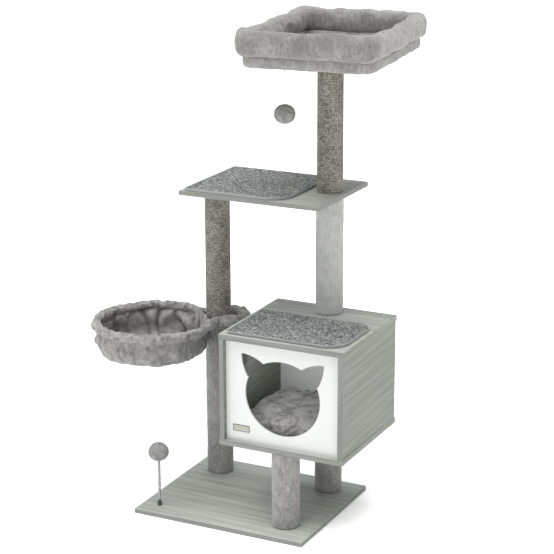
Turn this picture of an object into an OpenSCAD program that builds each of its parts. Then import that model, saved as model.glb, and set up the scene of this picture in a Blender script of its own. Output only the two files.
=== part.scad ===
// Cat tree: a base board, three columns of posts, a cabin with a cat-head door,
// a shelf, a bed with a bolster, a hoop basket and two toys. Millimetres, +Z up.
// The origin is on the underside of the base board, at its centre.

/* [Base] */
// Width of the base board
base_w = 490; // [470:1:520]
// Depth of the base board
base_d = 408; // [390:1:430]
// Thickness of the base, the shelf and the bed board
board_t = 12; // [11:1:14]

/* [Posts] */
// Outer radius of the cardboard core
core_r = 30; // [29:0.5:31]
// Wall of the cardboard core
core_wall = 2.5; // [2:0.5:4]
// Thickness of the rope winding
rope_t = 4.2; // [3:0.2:5]
// Thickness of a plush sleeve
plush_t = 6.3; // [4:0.1:6.5]
// Height of the legs under the cabin
leg_h = 204; // [190:1:220]
// Height of the post between the cabin and the shelf
mid_post_h = 316; // [300:1:340]
// Height of the post between the shelf and the bed
top_post_h = 348; // [320:1:380]

/* [Cabin] */
// Outer width of the cabin
cabin_w = 348; // [340:1:352]
// Outer depth of the cabin
cabin_d = 343; // [338:1:352]
// Outer height of the cabin
cabin_h = 300; // [290:1:320]
// Thickness of the roof and the floor
cabin_t = 14; // [13:1:16]
// Thickness of the side panels
side_t = 12; // [10:1:14]
// How far the front panel stands back from the front edges
front_recess = 15; // [8:1:20]
// Thickness of the front and back panels
panel_t = 5; // [4:0.5:6]
// Radius of the lower part of the cat-head door
head_r = 105; // [95:1:108]

/* [Shelf] */
// Width of the shelf
shelf_w = 403; // [400:1:410]
// Depth of the shelf
shelf_d = 304; // [290:1:320]
// Thickness of the two mats
mat_t = 8; // [6:1:10]

/* [Bed] */
// Width of the bed's base
bed_w = 336; // [326:1:340]
// Depth of the bed's base
bed_d = 452; // [436:1:460]
// Angle of the bed about its post
bed_turn = 6.5; // [0:0.5:8]
// Height of the padded base
bed_base_h = 30; // [26:1:36]
// Height of the bolster
bolster_h = 68; // [60:1:80]
// Width of the bolster
bolster_w = 46; // [40:1:60]

/* [Basket] */
// Radius of the hoop's centre line
hoop_r = 154; // [150:1:156]
// Distance from the post's axis to the hoop's centre
hoop_reach = 181.6; // [180:0.2:186]
// Direction of the hoop from its post
hoop_turn = 223.5; // [200:0.5:235]
// Height of the hoop
hoop_z = 463; // [440:1:480]
// Radius of the plush rim
rim_r = 13.5; // [12:0.5:14]
// Depth of the bag below the hoop
bag_depth = 81; // [75:1:100]

/* [Toys] */
// Height of the spring toy's ball centre
spring_ball_z = 164; // [150:1:180]
// Radius of both plush balls
ball_r = 26; // [22:1:28]

/* [Hidden] */
$fn = 64;

// Colours
c_laminate = [0.66, 0.68, 0.66];
c_white = [0.93, 0.94, 0.93];
c_plush = [0.62, 0.62, 0.61];
c_light_plush = [0.72, 0.73, 0.72];
c_rope = [0.49, 0.49, 0.46];
c_mat = [0.50, 0.52, 0.51];
c_card = [0.70, 0.58, 0.42];
c_steel = [0.72, 0.73, 0.74];
c_black = [0.16, 0.16, 0.16];
c_timber = [0.80, 0.68, 0.48];

// Levels
cabin_z = board_t + leg_h;
roof_z = cabin_z + cabin_h;
shelf_z = roof_z + mid_post_h;
shelf_top = shelf_z + board_t;
bed_z = shelf_top + top_post_h;
floor_top = cabin_z + cabin_t;
roof_under = roof_z - cabin_t;

// Post axes
left_post = [-166, 132];
front_leg = [160, -119];
rear_post = [161, 140];

// Cabin and shelf corners, and the bed's centre
cabin_x = -16;
cabin_y = -150;
side_inset = 2;
groove = 4;
shelf_x = -195;
shelf_y = -25;
bed_centre = [168, 146];

// M8 fasteners
bolt_r = 4;
bolt_clear_r = 4.25;
bolt_shank = 26;
head_rad = 8;
head_t = 4.5;
washer_r = 11;
washer_t = 1;
seat_depth = 6;
seat_r = 12;
insert_r = 5;
insert_h = 18;
plug_h = 20;
joint_gap = 0.3;
plate_t = 3;

rope_r = core_r + rope_t;
plush_r = core_r + plush_t;
bore_r = core_r - core_wall;

// Each post: its axis, its lower end and its upper end
left_lower = [left_post, board_t, hoop_z - plate_t / 2 - joint_gap];
left_upper = [left_post, hoop_z + plate_t / 2 + joint_gap, shelf_z];
front_lower = [front_leg, board_t, cabin_z];
rear_lower = [rear_post, board_t, cabin_z];
rear_mid = [rear_post, roof_z, shelf_z];
rear_top = [rear_post, shelf_top, bed_z];
posts = [left_lower, left_upper, front_lower, rear_lower, rear_mid, rear_top];

// Each bolt: its axis, the board face that its head is sunk in, and the way it points
bolts = [
    [left_post, 0, 1], [front_leg, 0, 1], [rear_post, 0, 1],
    [front_leg, floor_top, -1], [rear_post, floor_top, -1],
    [rear_post, roof_under, 1], [left_post, shelf_top, -1], [rear_post, bed_z + board_t, -1]
];
// Each stud: its axis, its lower end and its upper end
studs = [
    [left_post, hoop_z - insert_h, hoop_z + insert_h],
    [rear_post, shelf_z - insert_h, shelf_top + insert_h]
];

function arc_points(centre, r, from, to, steps) =
    [for (i = [0:steps]) let (a = from + (to - from) * i / steps) centre + r * [cos(a), sin(a)]];

// Points from p to q on an arc that rises by rise to the right of the straight line
function bow(p, q, rise, steps = 8) =
    let (chord = q - p, len = norm(chord), side = [chord[1], -chord[0]] / len)
    [for (i = [0:steps]) let (t = i / steps) p + chord * t + side * rise * 4 * t * (1 - t)];

module at_axis(axis, z = 0) {
    translate([axis[0], axis[1], z]) children();
}

module tube(outer, inner, h) {
    difference() {
        cylinder(r = outer, h = h);
        translate([0, 0, -1]) cylinder(r = inner, h = h + 2);
    }
}

// Rectangle from a corner, with its corners rounded: front left, front right, back right, back left
module rounded_rect(w, d, radii) {
    corners = [[0, 0], [w, 0], [w, d], [0, d]];
    inward = [[1, 1], [-1, 1], [-1, -1], [1, -1]];
    difference() {
        square([w, d]);
        for (i = [0:3]) {
            r = radii[i];
            difference() {
                translate(corners[i] + inward[i] * (r - 1) / 2) square(r + 1, center = true);
                translate(corners[i] + inward[i] * r) circle(r = r);
            }
        }
    }
}

module centred_slab(w, d, h, r) {
    translate([-w / 2, -d / 2, 0]) linear_extrude(h) rounded_rect(w, d, [r, r, r, r]);
}

module core(post) {
    color(c_card) at_axis(post[0], post[1]) tube(core_r, bore_r, post[2] - post[1]);
}

module plush_sleeve(post, colour) {
    color(colour) at_axis(post[0], post[1]) tube(plush_r, core_r, post[2] - post[1]);
}

module rope_winding(post) {
    color(c_rope) at_axis(post[0], post[1]) tube(rope_r, core_r, post[2] - post[1]);
}

// The holes that a board has for its bolts, whichever face they come from
module bolt_holes(axis, low, high) {
    at_axis(axis, low - 1) cylinder(r = bolt_clear_r, h = high - low + 2);
}

module bolt_seat(axis, face, way) {
    at_axis(axis, way > 0 ? face - 1 : face - seat_depth) cylinder(r = seat_r, h = seat_depth + 1);
}

module panel_bolts() {
    color(c_steel)
        for (b = bolts) {
            at_axis(b[0], b[1]) mirror([0, 0, b[2] > 0 ? 0 : 1]) {
                difference() {
                    translate([0, 0, seat_depth - washer_t - head_t]) cylinder(r = head_rad, h = head_t);
                    cylinder(r = 3, h = seat_depth - washer_t - 2, $fn = 6);
                }
                translate([0, 0, seat_depth - washer_t]) cylinder(r = bolt_r, h = bolt_shank);
            }
        }
}

module bolt_washers() {
    color(c_steel)
        for (b = bolts)
            at_axis(b[0], b[1]) mirror([0, 0, b[2] > 0 ? 0 : 1])
                translate([0, 0, seat_depth - washer_t]) tube(washer_r, bolt_clear_r, washer_t);
}

module joining_studs() {
    color(c_steel)
        for (s = studs)
            at_axis(s[0], s[1]) cylinder(r = bolt_r, h = s[2] - s[1]);
}

module insert_nuts() {
    color(c_steel)
        for (p = posts) {
            at_axis(p[0], p[1]) tube(insert_r, bolt_r, insert_h);
            at_axis(p[0], p[2] - insert_h) tube(insert_r, bolt_r, insert_h);
        }
}

module post_end_plugs() {
    color(c_black)
        for (p = posts) {
            at_axis(p[0], p[1]) tube(bore_r, insert_r, plug_h);
            at_axis(p[0], p[2] - plug_h) tube(bore_r, insert_r, plug_h);
        }
}

module base_board() {
    color(c_laminate) difference() {
        translate([-base_w / 2, -base_d / 2, 0]) cube([base_w, base_d, board_t]);
        for (axis = [left_post, front_leg, rear_post]) {
            bolt_holes(axis, 0, board_t);
            bolt_seat(axis, 0, 1);
        }
        translate([spring_at[0], spring_at[1], board_t - 8]) cylinder(r = 2, h = 20);
    }
}

// Cabin -------------------------------------------------------------------

inner_left = cabin_x + side_inset + side_t;
inner_right = cabin_x + cabin_w - side_inset - side_t;
front_y = cabin_y + front_recess;
back_y = cabin_y + cabin_d - 13;
side_d = cabin_d - side_inset;
dowel_r = 3;
dowel_in_board = 10;
dowel_in_side = 14;
dowel_ys = [cabin_y + 50, cabin_y + 290];
screw_ys = [cabin_y + 90, cabin_y + 250];
side_xs = [inner_left - side_t / 2, inner_right + side_t / 2];
head_centre = [cabin_x + cabin_w / 2, cabin_z + 150];

module dowels(r) {
    for (x = side_xs, y = dowel_ys) {
        translate([x, y, floor_top - dowel_in_board]) cylinder(r = r, h = dowel_in_board + dowel_in_side);
        translate([x, y, roof_under - dowel_in_side]) cylinder(r = r, h = dowel_in_board + dowel_in_side);
    }
}

module screws(clearance) {
    for (x = side_xs, y = screw_ys)
        translate([x, y, cabin_z]) {
            cylinder(r = 4.5 + clearance, h = 2);
            cylinder(r = 2.2 + clearance, h = 42);
        }
}

// A thin panel that stands in the grooves of the four boards around it
module grooved_panel(y) {
    translate([inner_left - groove, y, floor_top - groove])
        cube([inner_right - inner_left + 2 * groove, panel_t, roof_under - floor_top + 2 * groove]);
}

module cabin_slab(z) {
    difference() {
        translate([cabin_x, cabin_y, z]) cube([cabin_w, cabin_d, cabin_t]);
        grooved_panel(front_y);
        grooved_panel(back_y);
        dowels(dowel_r + 0.05);
    }
}

module cabin_floor() {
    color(c_laminate) difference() {
        cabin_slab(cabin_z);
        for (axis = [front_leg, rear_post]) {
            bolt_holes(axis, cabin_z, floor_top);
            bolt_seat(axis, floor_top, -1);
        }
        screws(0.1);
    }
}

module cabin_roof() {
    color(c_laminate) difference() {
        cabin_slab(roof_under);
        bolt_holes(rear_post, roof_under, roof_z);
        bolt_seat(rear_post, roof_under, 1);
    }
}

module side_panel(x) {
    color(c_laminate) difference() {
        translate([x, cabin_y, floor_top]) cube([side_t, side_d, roof_under - floor_top]);
        grooved_panel(front_y);
        grooved_panel(back_y);
        dowels(dowel_r + 0.05);
        screws(0.1);
    }
}

module cabin_left_side() {
    side_panel(inner_left - side_t);
}

module cabin_right_side() {
    side_panel(inner_right);
}

module cabin_back() {
    color(c_white) grooved_panel(back_y);
}

// The door's outline: a round head with a flatter crown and two ears
module cat_head() {
    crown_r = head_r * 1.17;
    intersection() {
        circle(r = head_r);
        translate([0, -0.27 * head_r]) circle(r = crown_r);
    }
    for (side = [0, 1]) mirror([side, 0]) cat_ear();
}

module cat_ear() {
    outer_base = head_r * [0.947, 0.41];
    tip_low = head_r * [1.105, 0.955];
    tip_high = head_r * [1.07, 0.985];
    inner_base = head_r * [0.51, 0.785];
    polygon(concat(
        bow(outer_base, tip_low, 3.5),
        bow(tip_high, inner_base, 4.5),
        [head_r * [0.4, 0.4]]
    ));
}

module cabin_front() {
    color(c_white) difference() {
        grooved_panel(front_y);
        translate([head_centre[0], front_y + panel_t + 1, head_centre[1]]) rotate([90, 0, 0])
            linear_extrude(panel_t + 2) cat_head();
    }
}

module cabin_dowels() {
    color(c_timber) dowels(dowel_r);
}

module side_screws() {
    color(c_steel) screws(0);
}

module label_plate() {
    color(c_steel) translate([cabin_x + 33, front_y - 1, floor_top + 25.5]) cube([48, 1, 18]);
}

module cabin_cushion() {
    color(c_plush) translate([(inner_left + inner_right) / 2, cabin_y + 174, floor_top])
        centred_slab(300, 290, 62, 45);
}

module mat(x, y, z, w, d, radii) {
    color(c_mat) translate([x, y, z]) linear_extrude(mat_t) rounded_rect(w, d, radii);
}

module roof_mat() {
    mat(cabin_x + 16, cabin_y + 12, roof_z, 320, 206, [8, 55, 38, 8]);
}

module shelf_board() {
    color(c_laminate) difference() {
        translate([shelf_x, shelf_y, shelf_z]) cube([shelf_w, shelf_d, board_t]);
        bolt_holes(left_post, shelf_z, shelf_top);
        bolt_seat(left_post, shelf_top, -1);
        bolt_holes(rear_post, shelf_z, shelf_top);
    }
}

module shelf_mat() {
    mat(shelf_x + 13, shelf_y + 3, shelf_top, 290, 284, [10, 60, 45, 10]);
}

// Bed ---------------------------------------------------------------------

cover_t = 6;
pad_h = 8;
pad_gap = 12;
bolster_z = bed_z + bed_base_h;
pad_z = bed_z + board_t + cover_t;
pad_w = bed_w - bolster_w - pad_gap;
pad_d = bed_d - bolster_w - pad_gap;
bolster_corner_r = 30;
bolster_inset = 3;
eye_at = [100, 0];

module in_bed(z) {
    translate([bed_centre[0], bed_centre[1], z]) rotate([0, 0, bed_turn]) children();
}

module bed_board() {
    color(c_timber) difference() {
        in_bed(bed_z) centred_slab(bed_w - 2 * cover_t, bed_d - 2 * cover_t, board_t, 20);
        bolt_holes(rear_post, bed_z, bed_z + board_t);
        bolt_seat(rear_post, bed_z + board_t, -1);
        at_axis(eye_at, bed_z - 1) cylinder(r = eye_wire_r, h = 9);
    }
}

module bed_base_cover() {
    color(c_plush) difference() {
        in_bed(bed_z) centred_slab(bed_w, bed_d, bed_base_h, 26);
        in_bed(bed_z - 1) centred_slab(bed_w - 2 * cover_t, bed_d - 2 * cover_t, board_t + 1, 20);
        in_bed(pad_z) centred_slab(pad_w + 4, pad_d + 4, bed_base_h, 10);
    }
}

// The bolster's upright oval section
module bolster_section() {
    r = bolster_w / 2;
    translate([0, r]) circle(r = r);
    translate([0, bolster_h - r]) circle(r = r);
    translate([-r, r]) square([bolster_w, bolster_h - bolster_w]);
}

module bed_bolster() {
    half_w = bed_w / 2 - bolster_inset - bolster_corner_r;
    half_d = bed_d / 2 - bolster_inset - bolster_corner_r;
    color(c_plush) in_bed(bolster_z) {
        for (side = [-1, 1]) {
            translate([side * (half_w + bolster_corner_r), half_d, 0]) rotate([90, 0, 0])
                linear_extrude(2 * half_d) bolster_section();
            translate([-half_w, side * (half_d + bolster_corner_r), 0]) rotate([90, 0, 90])
                linear_extrude(2 * half_w) bolster_section();
        }
        corner_spots = [[half_w, half_d], [-half_w, half_d], [-half_w, -half_d], [half_w, -half_d]];
        for (i = [0:3])
            translate(corner_spots[i]) rotate([0, 0, 90 * i]) rotate_extrude(angle = 90)
                translate([bolster_corner_r, 0]) bolster_section();
    }
}

module bed_pad() {
    color(c_plush) in_bed(pad_z) centred_slab(pad_w, pad_d, pad_h, 8);
}

// Basket ------------------------------------------------------------------
// Its own plan: the hoop's centre is the origin and +X points at the post.

wire_r = 4;
collar_r = 13.2;
neck_half = 51;
neck_end = hoop_reach + 22;
bend_r = 25;
bend_x = sqrt(pow(hoop_r + bend_r, 2) - pow(neck_half + bend_r, 2));
bend_angle = atan2(neck_half + bend_r, bend_x);
sleeve_split = 167;
sleeve_slack = 0.4;
plate_half = 13;
bag_wall = 4;
bag_flat = 142;

module in_basket(z = 0) {
    translate([left_post[0] + hoop_reach * cos(hoop_turn), left_post[1] + hoop_reach * sin(hoop_turn), z])
        rotate([0, 0, hoop_turn + 180]) children();
}

hoop_steps = 60;
bend_steps = 6;
end_steps = 14;
tube_sides = 10;

// A stop on the hoop's path: where it is, and which way the path is heading there
function arc_stops(centre, r, from, to, steps) =
    [for (i = [0:steps])
        let (a = from + (to - from) * i / steps, turn = to > from ? 90 : -90)
        [centre[0] + r * cos(a), centre[1] + r * sin(a), a + turn]];

// The round part of the hoop, from one side of its neck to the other
round_stops = concat(
    [[sleeve_split, neck_half, 180]],
    arc_stops([bend_x, neck_half + bend_r], bend_r, 270, 180 + bend_angle, bend_steps),
    [for (i = [1:hoop_steps - 1])
        let (a = bend_angle + (360 - 2 * bend_angle) * i / hoop_steps)
        [hoop_r * cos(a), hoop_r * sin(a), a + 90]],
    arc_stops([bend_x, -neck_half - bend_r], bend_r, 180 - bend_angle, 90, bend_steps),
    [[sleeve_split, -neck_half, 0]]
);
// The end of the neck, behind the post
end_stops = arc_stops([neck_end, 0], neck_half, -90, 90, end_steps);

function tube_rings(stops, r) =
    [for (s = stops, i = [0:tube_sides - 1])
        let (a = 360 * i / tube_sides)
        [s[0] - r * cos(a) * sin(s[2]), s[1] + r * cos(a) * cos(s[2]), r * sin(a)]];

// Faces between one ring of points and the next, from ring number first onwards
function tube_walls(first, count, closed) =
    [for (k = [0:count - (closed ? 1 : 2)], i = [0:tube_sides - 1])
        let (j = (i + 1) % tube_sides, next = (k + 1) % count)
        [(first + k) * tube_sides + i, (first + next) * tube_sides + i,
            (first + next) * tube_sides + j, (first + k) * tube_sides + j]];

function turned_over(faces) = [for (f = faces) [for (i = [len(f) - 1:-1:0]) f[i]]];

// The ring of faces that closes a hollow tube between its outer and its inner skin
function tube_end(outer, inner) =
    [for (i = [0:tube_sides - 1])
        let (j = (i + 1) % tube_sides)
        [outer * tube_sides + i, outer * tube_sides + j, inner * tube_sides + j, inner * tube_sides + i]];

module closed_rod(stops, r) {
    polyhedron(points = tube_rings(stops, r), faces = tube_walls(0, len(stops), true));
}

module hollow_sleeve(stops, outer, inner) {
    n = len(stops);
    polyhedron(
        points = concat(tube_rings(stops, outer), tube_rings(stops, inner)),
        faces = concat(
            tube_walls(0, n, false),
            turned_over(tube_walls(n, n, false)),
            tube_end(0, n),
            turned_over(tube_end(n - 1, 2 * n - 1))
        )
    );
}

// The neck's two straight sides and its round end behind the post
module neck_rod(r) {
    for (side = [-1, 1])
        translate([sleeve_split, side * neck_half, 0]) rotate([0, 90, 0])
            cylinder(r = r, h = neck_end - sleeve_split);
    translate([neck_end, 0, 0]) rotate([0, 0, -90]) rotate_extrude(angle = 180)
        translate([neck_half, 0]) circle(r = r);
}

module hoop_wire() {
    color(c_steel) in_basket(hoop_z) closed_rod(concat(round_stops, end_stops), wire_r);
}

module plate_blank(reach) {
    translate([hoop_reach - plate_half, -reach, -plate_t / 2]) cube([2 * plate_half, 2 * reach, plate_t]);
}

module hoop_plate() {
    color(c_steel) in_basket(hoop_z) difference() {
        plate_blank(neck_half - wire_r);
        translate([hoop_reach, 0, -plate_t]) cylinder(r = bolt_clear_r, h = 2 * plate_t);
    }
}

module rim_sleeve() {
    color(c_plush) in_basket(hoop_z) hollow_sleeve(round_stops, rim_r, wire_r);
}

module collar_sleeve() {
    color(c_plush) in_basket(hoop_z) difference() {
        neck_rod(collar_r);
        neck_rod(wire_r + sleeve_slack);
        plate_blank(neck_half);
    }
}

// Half of the bag's section, from its middle out to its rim, inset by a wall
module bag_section(inset) {
    top = -rim_r + (inset > 0 ? 1 : 0);
    rim = hoop_r + 5 - inset;
    foot_r = 42;
    polygon(concat(
        [[0, top], [0, -bag_depth + inset]],
        arc_points([rim - 1 - foot_r, -bag_depth + inset + foot_r], foot_r, -90, -5, 10),
        [[rim - 3, top]]
    ));
}

module bag_solid(inset) {
    intersection() {
        rotate_extrude() bag_section(inset);
        translate([-2 * hoop_r, -hoop_r * 1.5, -2 * bag_depth])
            cube([2 * hoop_r + bag_flat - inset, 3 * hoop_r, 2 * bag_depth]);
    }
}

module basket_bag() {
    color(c_plush) in_basket(hoop_z) {
        difference() {
            bag_solid(0);
            bag_solid(bag_wall);
        }
        translate([bag_flat - bag_wall, -44, -rim_r]) cube([bag_wall, 88, rim_r + 8]);
    }
}

// Toys --------------------------------------------------------------------

spring_at = [-197, -153];
spring_r = 3.75;
spring_low = 30;
spring_mid = 84;
spring_split = 80;
ball_grip = 8;

module spring_socket() {
    color(c_black) translate([spring_at[0], spring_at[1], board_t]) {
        cylinder(r = 6, h = 8);
        cylinder(r = 4.6, h = 14);
        translate([0, 0, -8]) cylinder(r = 2, h = 8);
    }
}

module lower_spring() {
    color(c_steel) at_axis(spring_at, spring_low) {
        sphere(r = spring_r);
        cylinder(r = spring_r, h = spring_split - spring_low);
    }
}

module upper_spring() {
    color(c_steel) at_axis(spring_at, spring_mid) {
        sphere(r = spring_r);
        cylinder(r = spring_r, h = spring_ball_z - ball_r + ball_grip - spring_mid);
    }
}

module spring_ball() {
    color(c_plush) at_axis(spring_at, spring_ball_z) difference() {
        sphere(r = ball_r);
        translate([0, 0, -2 * ball_r]) cylinder(r = spring_r, h = ball_r + ball_grip);
    }
}

eye_r = 4;
eye_wire_r = 0.8;
eye_z = bed_z - 6;
ring_r = 3.5;
ring_wire_r = 0.7;
ring_z = eye_z - 5.8;
knot_z = ring_z - ring_r;
toy_ball_z = bed_z - 126;
cord_r = 0.8;

// The cord's route from the knot down into the ball, below the bed's underside
cord_drop = [
    [100, 0, 19], [100, 0, 25], [100, 0, 31], [100, 0, 37], [100, 0, 43], [100, 0, 49],
    [100, 0, 55], [100, 0, 61], [100, 0, 67], [100, 0, 73], [100, 0, 79], [100, 0, 85],
    [100, 0, 91], [100, 0, 97], [100, 0, 103], [100, 0, 107]
];
cord_route = [for (p = cord_drop) [p[0], p[1], bed_z - p[2]]];

module toy_eye() {
    color(c_steel) at_axis(eye_at) {
        translate([0, 0, eye_z]) rotate([0, 90, 0]) rotate_extrude() translate([eye_r, 0]) circle(r = eye_wire_r);
        translate([0, 0, eye_z + eye_r]) cylinder(r = eye_wire_r, h = 10);
    }
}

module ring_shape(r) {
    translate([0, 0, ring_z]) rotate([90, 0, 0]) rotate_extrude() translate([ring_r, 0]) circle(r = r);
}

module toy_ring() {
    color(c_steel) at_axis(eye_at) ring_shape(ring_wire_r);
}

module toy_knot() {
    color(c_light_plush) at_axis(eye_at) difference() {
        translate([0, 0, knot_z - 0.4]) sphere(r = 2.4);
        ring_shape(ring_wire_r + 0.2);
        translate([0, 0, knot_z - 5]) cylinder(r = cord_r + 0.05, h = bed_z - cord_drop[0][2] - knot_z + 5);
    }
}

// A round tube swept along points that run straight down
module swept_cord(route, r, sides) {
    rings = [for (p = route, i = [0:sides - 1]) p + r * [cos(360 * i / sides), sin(360 * i / sides), 0]];
    last = len(route) - 1;
    walls = [for (k = [0:last - 1], i = [0:sides - 1])
        let (j = (i + 1) % sides) [k * sides + i, k * sides + j, (k + 1) * sides + j, (k + 1) * sides + i]];
    top_cap = [for (i = [sides - 1:-1:0]) i];
    low_cap = [for (i = [0:sides - 1]) last * sides + i];
    polyhedron(points = rings, faces = concat(walls, [top_cap], [low_cap]));
}

module toy_cord() {
    color(c_light_plush) swept_cord(cord_route, cord_r, 8);
}

module toy_ball() {
    color(c_plush) at_axis(eye_at, toy_ball_z) difference() {
        sphere(r = ball_r);
        translate([0, 0, ball_r - 9]) cylinder(r = cord_r + 0.05, h = 20);
    }
}

// Every node is drawn from here ---------------------------------------------

base_board();
panel_bolts();
bolt_washers();
joining_studs();
insert_nuts();
post_end_plugs();
core(left_lower);  // left_lower_core
plush_sleeve(left_lower, c_light_plush);  // left_lower_plush
core(left_upper);  // left_upper_core
rope_winding(left_upper);  // left_upper_rope
core(front_lower);  // front_leg_core
plush_sleeve(front_lower, c_plush);  // front_leg_plush
core(rear_lower);  // rear_leg_core
plush_sleeve(rear_lower, c_plush);  // rear_leg_plush
core(rear_mid);  // rear_mid_core
plush_sleeve(rear_mid, c_light_plush);  // rear_mid_plush
core(rear_top);  // top_post_core
rope_winding(rear_top);  // top_post_rope
cabin_floor();
cabin_roof();
cabin_left_side();
cabin_right_side();
cabin_back();
cabin_front();
cabin_dowels();
side_screws();
label_plate();
cabin_cushion();
roof_mat();
shelf_board();
shelf_mat();
bed_board();
bed_base_cover();
bed_bolster();
bed_pad();
hoop_wire();
hoop_plate();
rim_sleeve();
collar_sleeve();
basket_bag();
spring_socket();
lower_spring();
upper_spring();
spring_ball();
toy_eye();
toy_ring();
toy_knot();
toy_cord();
toy_ball();
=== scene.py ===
"""The looks of a cat tree: boards, wound and plush posts, a cabin, a bed, a basket and two toys."""

import logging
import math
from dataclasses import dataclass
from enum import Enum
from typing import Callable, Iterable, Sequence

import bmesh
import bpy
from mathutils import Euler, Matrix, Vector, noise


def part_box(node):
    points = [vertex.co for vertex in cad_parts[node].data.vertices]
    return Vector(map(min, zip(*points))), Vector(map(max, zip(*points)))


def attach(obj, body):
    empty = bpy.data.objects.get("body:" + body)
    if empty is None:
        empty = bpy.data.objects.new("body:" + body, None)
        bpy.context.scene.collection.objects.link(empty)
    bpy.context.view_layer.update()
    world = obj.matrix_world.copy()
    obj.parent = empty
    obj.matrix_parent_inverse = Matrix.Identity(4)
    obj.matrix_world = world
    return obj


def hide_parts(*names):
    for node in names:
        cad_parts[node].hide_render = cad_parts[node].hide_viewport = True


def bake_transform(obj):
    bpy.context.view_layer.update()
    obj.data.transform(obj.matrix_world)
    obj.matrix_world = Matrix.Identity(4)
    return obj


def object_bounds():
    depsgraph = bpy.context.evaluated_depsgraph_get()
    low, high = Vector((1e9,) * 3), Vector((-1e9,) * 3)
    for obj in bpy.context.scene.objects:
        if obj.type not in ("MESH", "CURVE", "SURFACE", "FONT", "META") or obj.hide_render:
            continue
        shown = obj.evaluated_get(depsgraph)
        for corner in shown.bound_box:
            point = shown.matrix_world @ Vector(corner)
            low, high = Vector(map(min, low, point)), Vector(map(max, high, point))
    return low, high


logging.basicConfig(level=logging.INFO, format="%(message)s")
log = logging.getLogger("cat_tree")

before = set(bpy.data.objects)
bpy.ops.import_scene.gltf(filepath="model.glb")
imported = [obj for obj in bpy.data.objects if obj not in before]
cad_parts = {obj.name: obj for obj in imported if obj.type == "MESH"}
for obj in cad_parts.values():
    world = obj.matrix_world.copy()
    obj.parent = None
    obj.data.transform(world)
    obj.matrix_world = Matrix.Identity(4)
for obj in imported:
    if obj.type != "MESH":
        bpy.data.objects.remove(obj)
cad_low, cad_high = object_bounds()

MM = 0.001
UP = Vector((0, 0, 1))
SIM_FRAMES = 20
JOIN = 0.02 * MM  # points nearer than this are one
FACING = 0.7  # the least part of a normal that counts as facing an axis

Point = tuple[float, float, float]
Paint = tuple[float, float, float, float]
Material = bpy.types.Material
Object = bpy.types.Object
Shape = bmesh.types.BMesh


# Shader maths ---------------------------------------------------------------


def tone(red: int, green: int, blue: int) -> Paint:
    """A display colour of 0 to 255 as the linear colour that a shader takes."""
    linear = [((c / 255 + 0.055) / 1.055) ** 2.4 if c > 10 else c / 255 / 12.92 for c in (red, green, blue)]
    return (*linear, 1.0)


class Wire:
    """A node's output socket, with the operators that shader maths uses."""

    def __init__(self, tree: bpy.types.NodeTree, socket: bpy.types.NodeSocket) -> None:
        """Keeps the socket and the tree that it is in."""
        self.tree = tree
        self.socket = socket

    def math(self, operation: str, *others: "Wire | float", first: bool = True) -> "Wire":
        """Adds a Math node.

        Args:
            operation: the Math node's operation.
            others: the values or wires of its other sockets.
            first: False puts this wire on the second socket.

        Returns:
            The wire of its result.
        """
        made = self.tree.nodes.new("ShaderNodeMath")
        made.operation = operation
        values = [self, *others] if first else [*others, self]
        for socket, value in zip(made.inputs, values):
            plug(self.tree, socket, value)
        return Wire(self.tree, made.outputs[0])

    def __add__(self, other: "Wire | float") -> "Wire":
        """self + other."""
        return self.math("ADD", other)

    __radd__ = __add__

    def __mul__(self, other: "Wire | float") -> "Wire":
        """self * other."""
        return self.math("MULTIPLY", other)

    def __sub__(self, other: "Wire | float") -> "Wire":
        """self - other."""
        return self.math("SUBTRACT", other)

    def __rsub__(self, other: "Wire | float") -> "Wire":
        """other - self."""
        return self.math("SUBTRACT", other, first=False)

    def sine(self) -> "Wire":
        """The sine of the wire."""
        return self.math("SINE")

    def size(self) -> "Wire":
        """The wire without its sign."""
        return self.math("ABSOLUTE")

    def over(self, low: float, high: float) -> "Wire":
        """0 below low, 1 above high and smooth between them."""
        made = self.tree.nodes.new("ShaderNodeMapRange")
        made.interpolation_type = "SMOOTHSTEP"
        for name, value in (("Value", self), ("From Min", low), ("From Max", high)):
            plug(self.tree, made.inputs[name], value)
        return Wire(self.tree, made.outputs[0])


def plug(tree: bpy.types.NodeTree, socket: bpy.types.NodeSocket, value: object) -> None:
    """Links a wire to a socket, or sets the socket's own value."""
    if isinstance(value, Wire):
        tree.links.new(value.socket, socket)
    else:
        socket.default_value = value


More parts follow.
